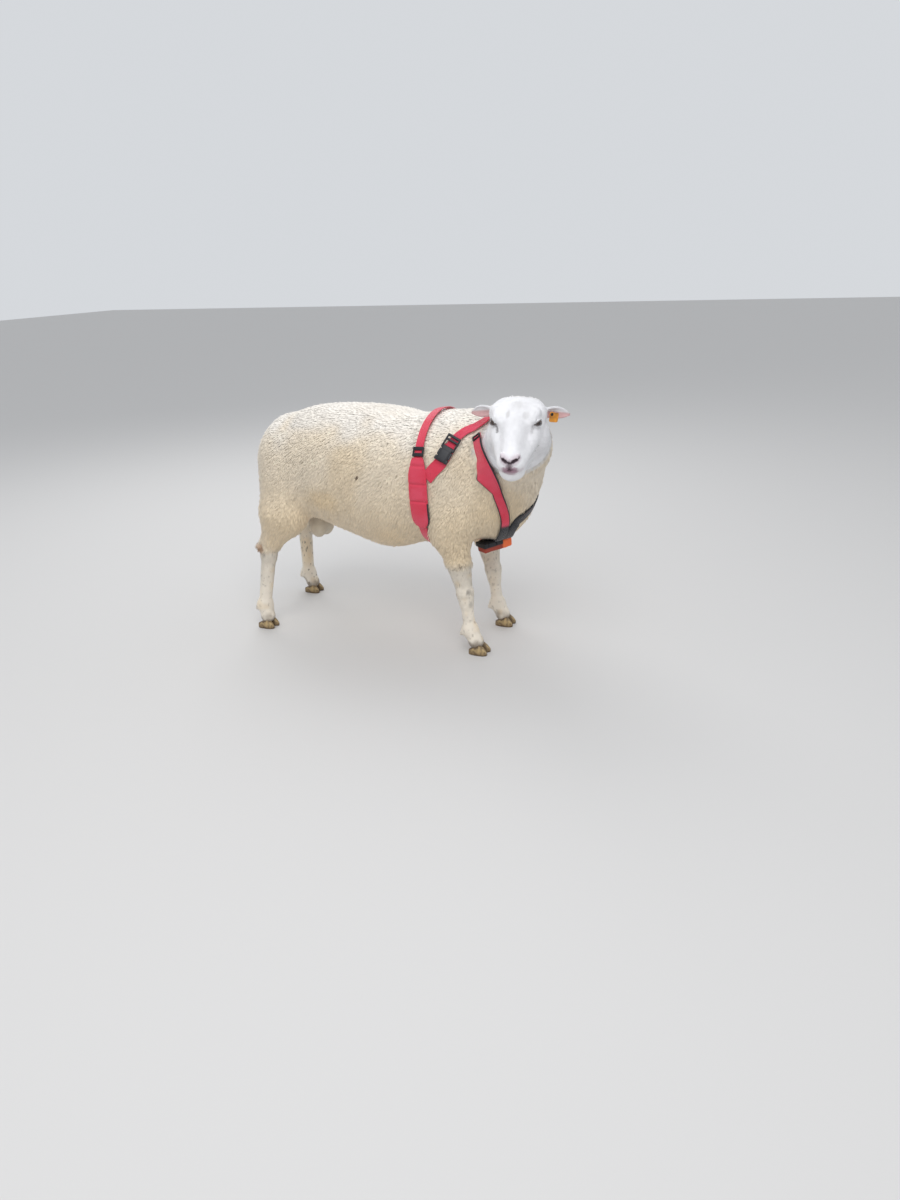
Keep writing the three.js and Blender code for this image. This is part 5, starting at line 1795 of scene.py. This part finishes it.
def eyes():
    made = new_material("eye", 0.04, Coat_Weight=1.0, Coat_Roughness=0.02, IOR=1.38)
    colour_from(made, "dye")
    turn = np.arange(72) * 2 * np.pi / 72
    tilt = np.concatenate([np.linspace(0.02, 0.8, 34), np.linspace(0.86, 3.1, 26)])
    for hand, side in HANDS:
        bulge = EYE_RADIUS - 0.15 + 0.7 * np.exp(-((tilt / 0.5) ** 2))
        ring = (np.cos(turn)[:, None] * EYE_LONG + np.sin(turn)[:, None] * EYE_UP)
        rings = (np.sin(tilt)[:, None, None] * ring + np.cos(tilt)[:, None, None] * EYE_FACING)
        rings = rings * bulge[:, None, None]
        points, faces = loft(rings)
        u, v, out = points @ EYE_LONG, points @ EYE_UP, points @ EYE_FACING
        away = np.hypot(u, v)
        ray = chances(np.stack([np.round(40 * np.arctan2(v, u)), 0 * u, 0 * u], -1).astype(int), 3)
        iris = srgb(74, 50, 34) * (0.75 + 0.5 * ray)[:, None]
        colour = stained(iris, srgb(40, 28, 20), step_up(away, 6.4, 9.0))
        colour = stained(colour, srgb(70, 52, 44), step_up(away, 9.0, 10.5) * (out > 0))
        pupil = (np.abs(u / 5.8) ** 3 + np.abs(v / 3.2) ** 3)
        colour = stained(colour, srgb(8, 8, 12), 1 - step_up(pupil, 0.75, 1.2))
        build = Gathered()
        centre = EYE_AT * [1, side, 1]
        build.add(out_of_head(points * [1, side, 1] + centre), faces, colour)
        build.piece(f"eyeball_{hand}", "eye", made, f"eye_{hand}")


CLAW = dict(long=60, wide=25, top=34, apart=3)
CLAW_ROWS = [(-0.42, 0.5, 0.5), (-0.3, 0.9, 0.62), (0, 1, 0.86), (0.16, 0.98, 0.98), (0.4, 0.78, 0.7),
             (0.58, 0.3, 0.34)]
HOOVES = dict(foreleg_right=(396, 5), foreleg_left=(396, 5), hindleg_right=(-378, 2),
              hindleg_left=(-408, 4))
CORONET_SLOPE = math.radians(27)


def top_of_horn(x):
    return 28 + x * math.tan(CORONET_SLOPE)


def claw(leg_name, which):
    """One claw, standing on the floor, with growth rings down its wall."""
    leg, (hoof, splay) = LEGS[leg_name], HOOVES[leg_name]
    coronet = places_of(leg)[3]
    half = CLAW["wide"] / 2
    rows = curve([(a * CLAW["long"], b * half, t * CLAW["top"]) for a, b, t in CLAW_ROWS], 34)
    turn = np.linspace(0, np.pi, 26)
    across = np.sign(np.cos(turn)) * np.abs(np.cos(turn)) ** 0.5
    lift = 0.94 * np.abs(np.sin(turn)) ** 0.75
    sole = np.linspace(-1, 1, 10)[1:-1]
    across, lift = np.append(across, sole), np.append(lift, 0 * sole)
    x = np.broadcast_to(rows[:, :1], (len(rows), len(across)))
    y, z = rows[:, 1:2] * across, np.maximum(rows[:, 2:] * lift, 0)
    top = top_of_horn(x)
    deep = (top - z) * math.cos(CORONET_SLOPE)
    ridge = 0.35 * np.cos(deep * 2 * np.pi / 4.6) * (z > 0.5) * (deep > 1)
    y = y + ridge * np.sign(across) * (np.abs(across) > 0.3)
    x = x + ridge * (rows[:, :1] > 20)
    z = np.minimum(z, top)
    points, faces = loft(np.stack([x, y, z], -1))
    points[:, 2] = np.maximum(points[:, 2], 0)
    turned_by = which * math.radians(splay)
    away = which * (half + CLAW["apart"] / 2)
    frame = Frame((hoof, coronet[1] + away, 0), (math.cos(turned_by), math.sin(turned_by), 0),
                  (-math.sin(turned_by), math.cos(turned_by), 0), (0, 0, 1))
    horn, streak = srgb(184, 158, 112), srgb(74, 58, 44)
    stretched = points * [0.5, 1, 0.35]
    colour = stained(horn, streak, 0.35 + 0.8 * noise(stretched, 3.2, 95))
    inner = step_up(-points[:, 1] * which, 2, 11)
    low = 1 - step_up(points[:, 2] + 7 * noise(points, 6, 96), 2, 17)
    high = step_up(points[:, 2] - top_of_horn(points[:, 0]) + 5 * noise(points, 5, 97), -9, 0)
    colour = stained(colour, MUD, np.maximum(np.maximum(0.8 * low, 0.85 * inner), 0.8 * high))
    return frame.out(points), faces, colour


def claws():
    made = new_material("claw_horn", 0.48)
    colour_from(made, "dye")
    bumpy(made, grain(made, 0.0022, 5.0), 0.0006, 0.7)
    for name, leg in LEGS.items():
        for place, which in (("outer", leg["side"]), ("inner", -leg["side"])):
            build = Gathered()
            build.add(*claw(name, which))
            build.piece(f"claw_{name}_{place}_horn", "claw_horn", made, f"claw_{name}_{place}")


# ---------------------------------------------------------------------------------------------
# Making the model

skin_points, skin_triangles = skin_mesh()
skin_normals = normals_of(skin_points, skin_triangles)
if dot(skin_normals, skin_points - skin_points.mean(0)).mean() < 0:
    skin_normals = -skin_normals
skin_middles = skin_points[skin_triangles].mean(1)
skin_map = unwrap(skin_points, skin_triangles)
skin = new_mesh("skin", skin_points, skin_triangles)
# The skin under the fleece is painted up to 30% lighter: painted fill light in the shaded gaps between the
# locks.
give_colour(skin, "coat_colour", coat_colour(skin_points, skin_normals)
            * (1 + 0.3 * wool_weight(skin_points))[:, None])
give_map(skin, "OFBake", skin_map.reshape(-1, 2))
skin.data.materials.append(skin_material())
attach(skin, "root")
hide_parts("trunk", "neck", "head", "tail", "scrotum", "ear_left", "ear_right", *LEGS)

straps()
fittings()
crayon_and_holder()
ear_tag()
eyes()
claws()
HARNESS_TREE = harness_tree()
fleece()
head_hair()
leg_hair()

# ---------------------------------------------------------------------------------------------
# Floor, light and camera

CAMERA_PLACE = (1340, -2460, 1170)
CAMERA_YAW, CAMERA_PITCH, CAMERA_ROLL = (math.radians(angle) for angle in (24, 21.5, -2.26))
FOCAL_SHARE = 870 / 1200  # focal length as a share of the picture's long side


WORLD_COLOUR, WORLD_STRENGTH = (0.93, 0.96, 1.0, 1), 0.72
# The lamps: name, place and size in metres, and power in watts.
LAMPS = [("key", (0.9, -2.4, 3.4), 2.8, 72), ("rim", (-1.6, 1.8, 3.0), 2.2, 42)]


def stage():
    bpy.ops.mesh.primitive_plane_add(size=40, location=(0, 0, 0))
    floor = bpy.context.object
    floor.name = "floor"
    material = bpy.data.materials.new("floor")
    material.use_nodes = True
    shader = material.node_tree.nodes["Principled BSDF"]
    shader.inputs["Base Color"].default_value = (0.62, 0.61, 0.60, 1)
    shader.inputs["Roughness"].default_value = 0.9
    floor.data.materials.append(material)
    world = bpy.data.worlds.new("studio")
    world.use_nodes = True
    world.node_tree.nodes["Background"].inputs["Color"].default_value = WORLD_COLOUR
    world.node_tree.nodes["Background"].inputs["Strength"].default_value = WORLD_STRENGTH
    bpy.context.scene.world = world
    bpy.context.scene.view_settings.view_transform = "Standard"
    for name, place, size, power in LAMPS:
        light = bpy.data.lights.new(name, "AREA")
        light.size, light.energy = size, power
        lamp = bpy.data.objects.new(name, light)
        lamp.location = place
        lamp.rotation_euler = (Vector((0, 0, 0.4)) - lamp.location).to_track_quat("-Z", "Y").to_euler()
        bpy.context.scene.collection.objects.link(lamp)


def camera():
    data = bpy.data.cameras.new("camera")
    data.sensor_width = 36
    data.lens = 36 * FOCAL_SHARE
    eye = bpy.data.objects.new("camera", data)
    eye.location = to_frame(CAMERA_PLACE)
    look = Matrix.Rotation(CAMERA_YAW, 4, "Z") @ Matrix.Rotation(math.pi / 2 - CAMERA_PITCH, 4, "X")
    eye.matrix_world = Matrix.Translation(eye.location) @ look @ Matrix.Rotation(CAMERA_ROLL, 4, "Z")
    bpy.context.scene.collection.objects.link(eye)
    bpy.context.scene.camera = eye


stage()
camera()
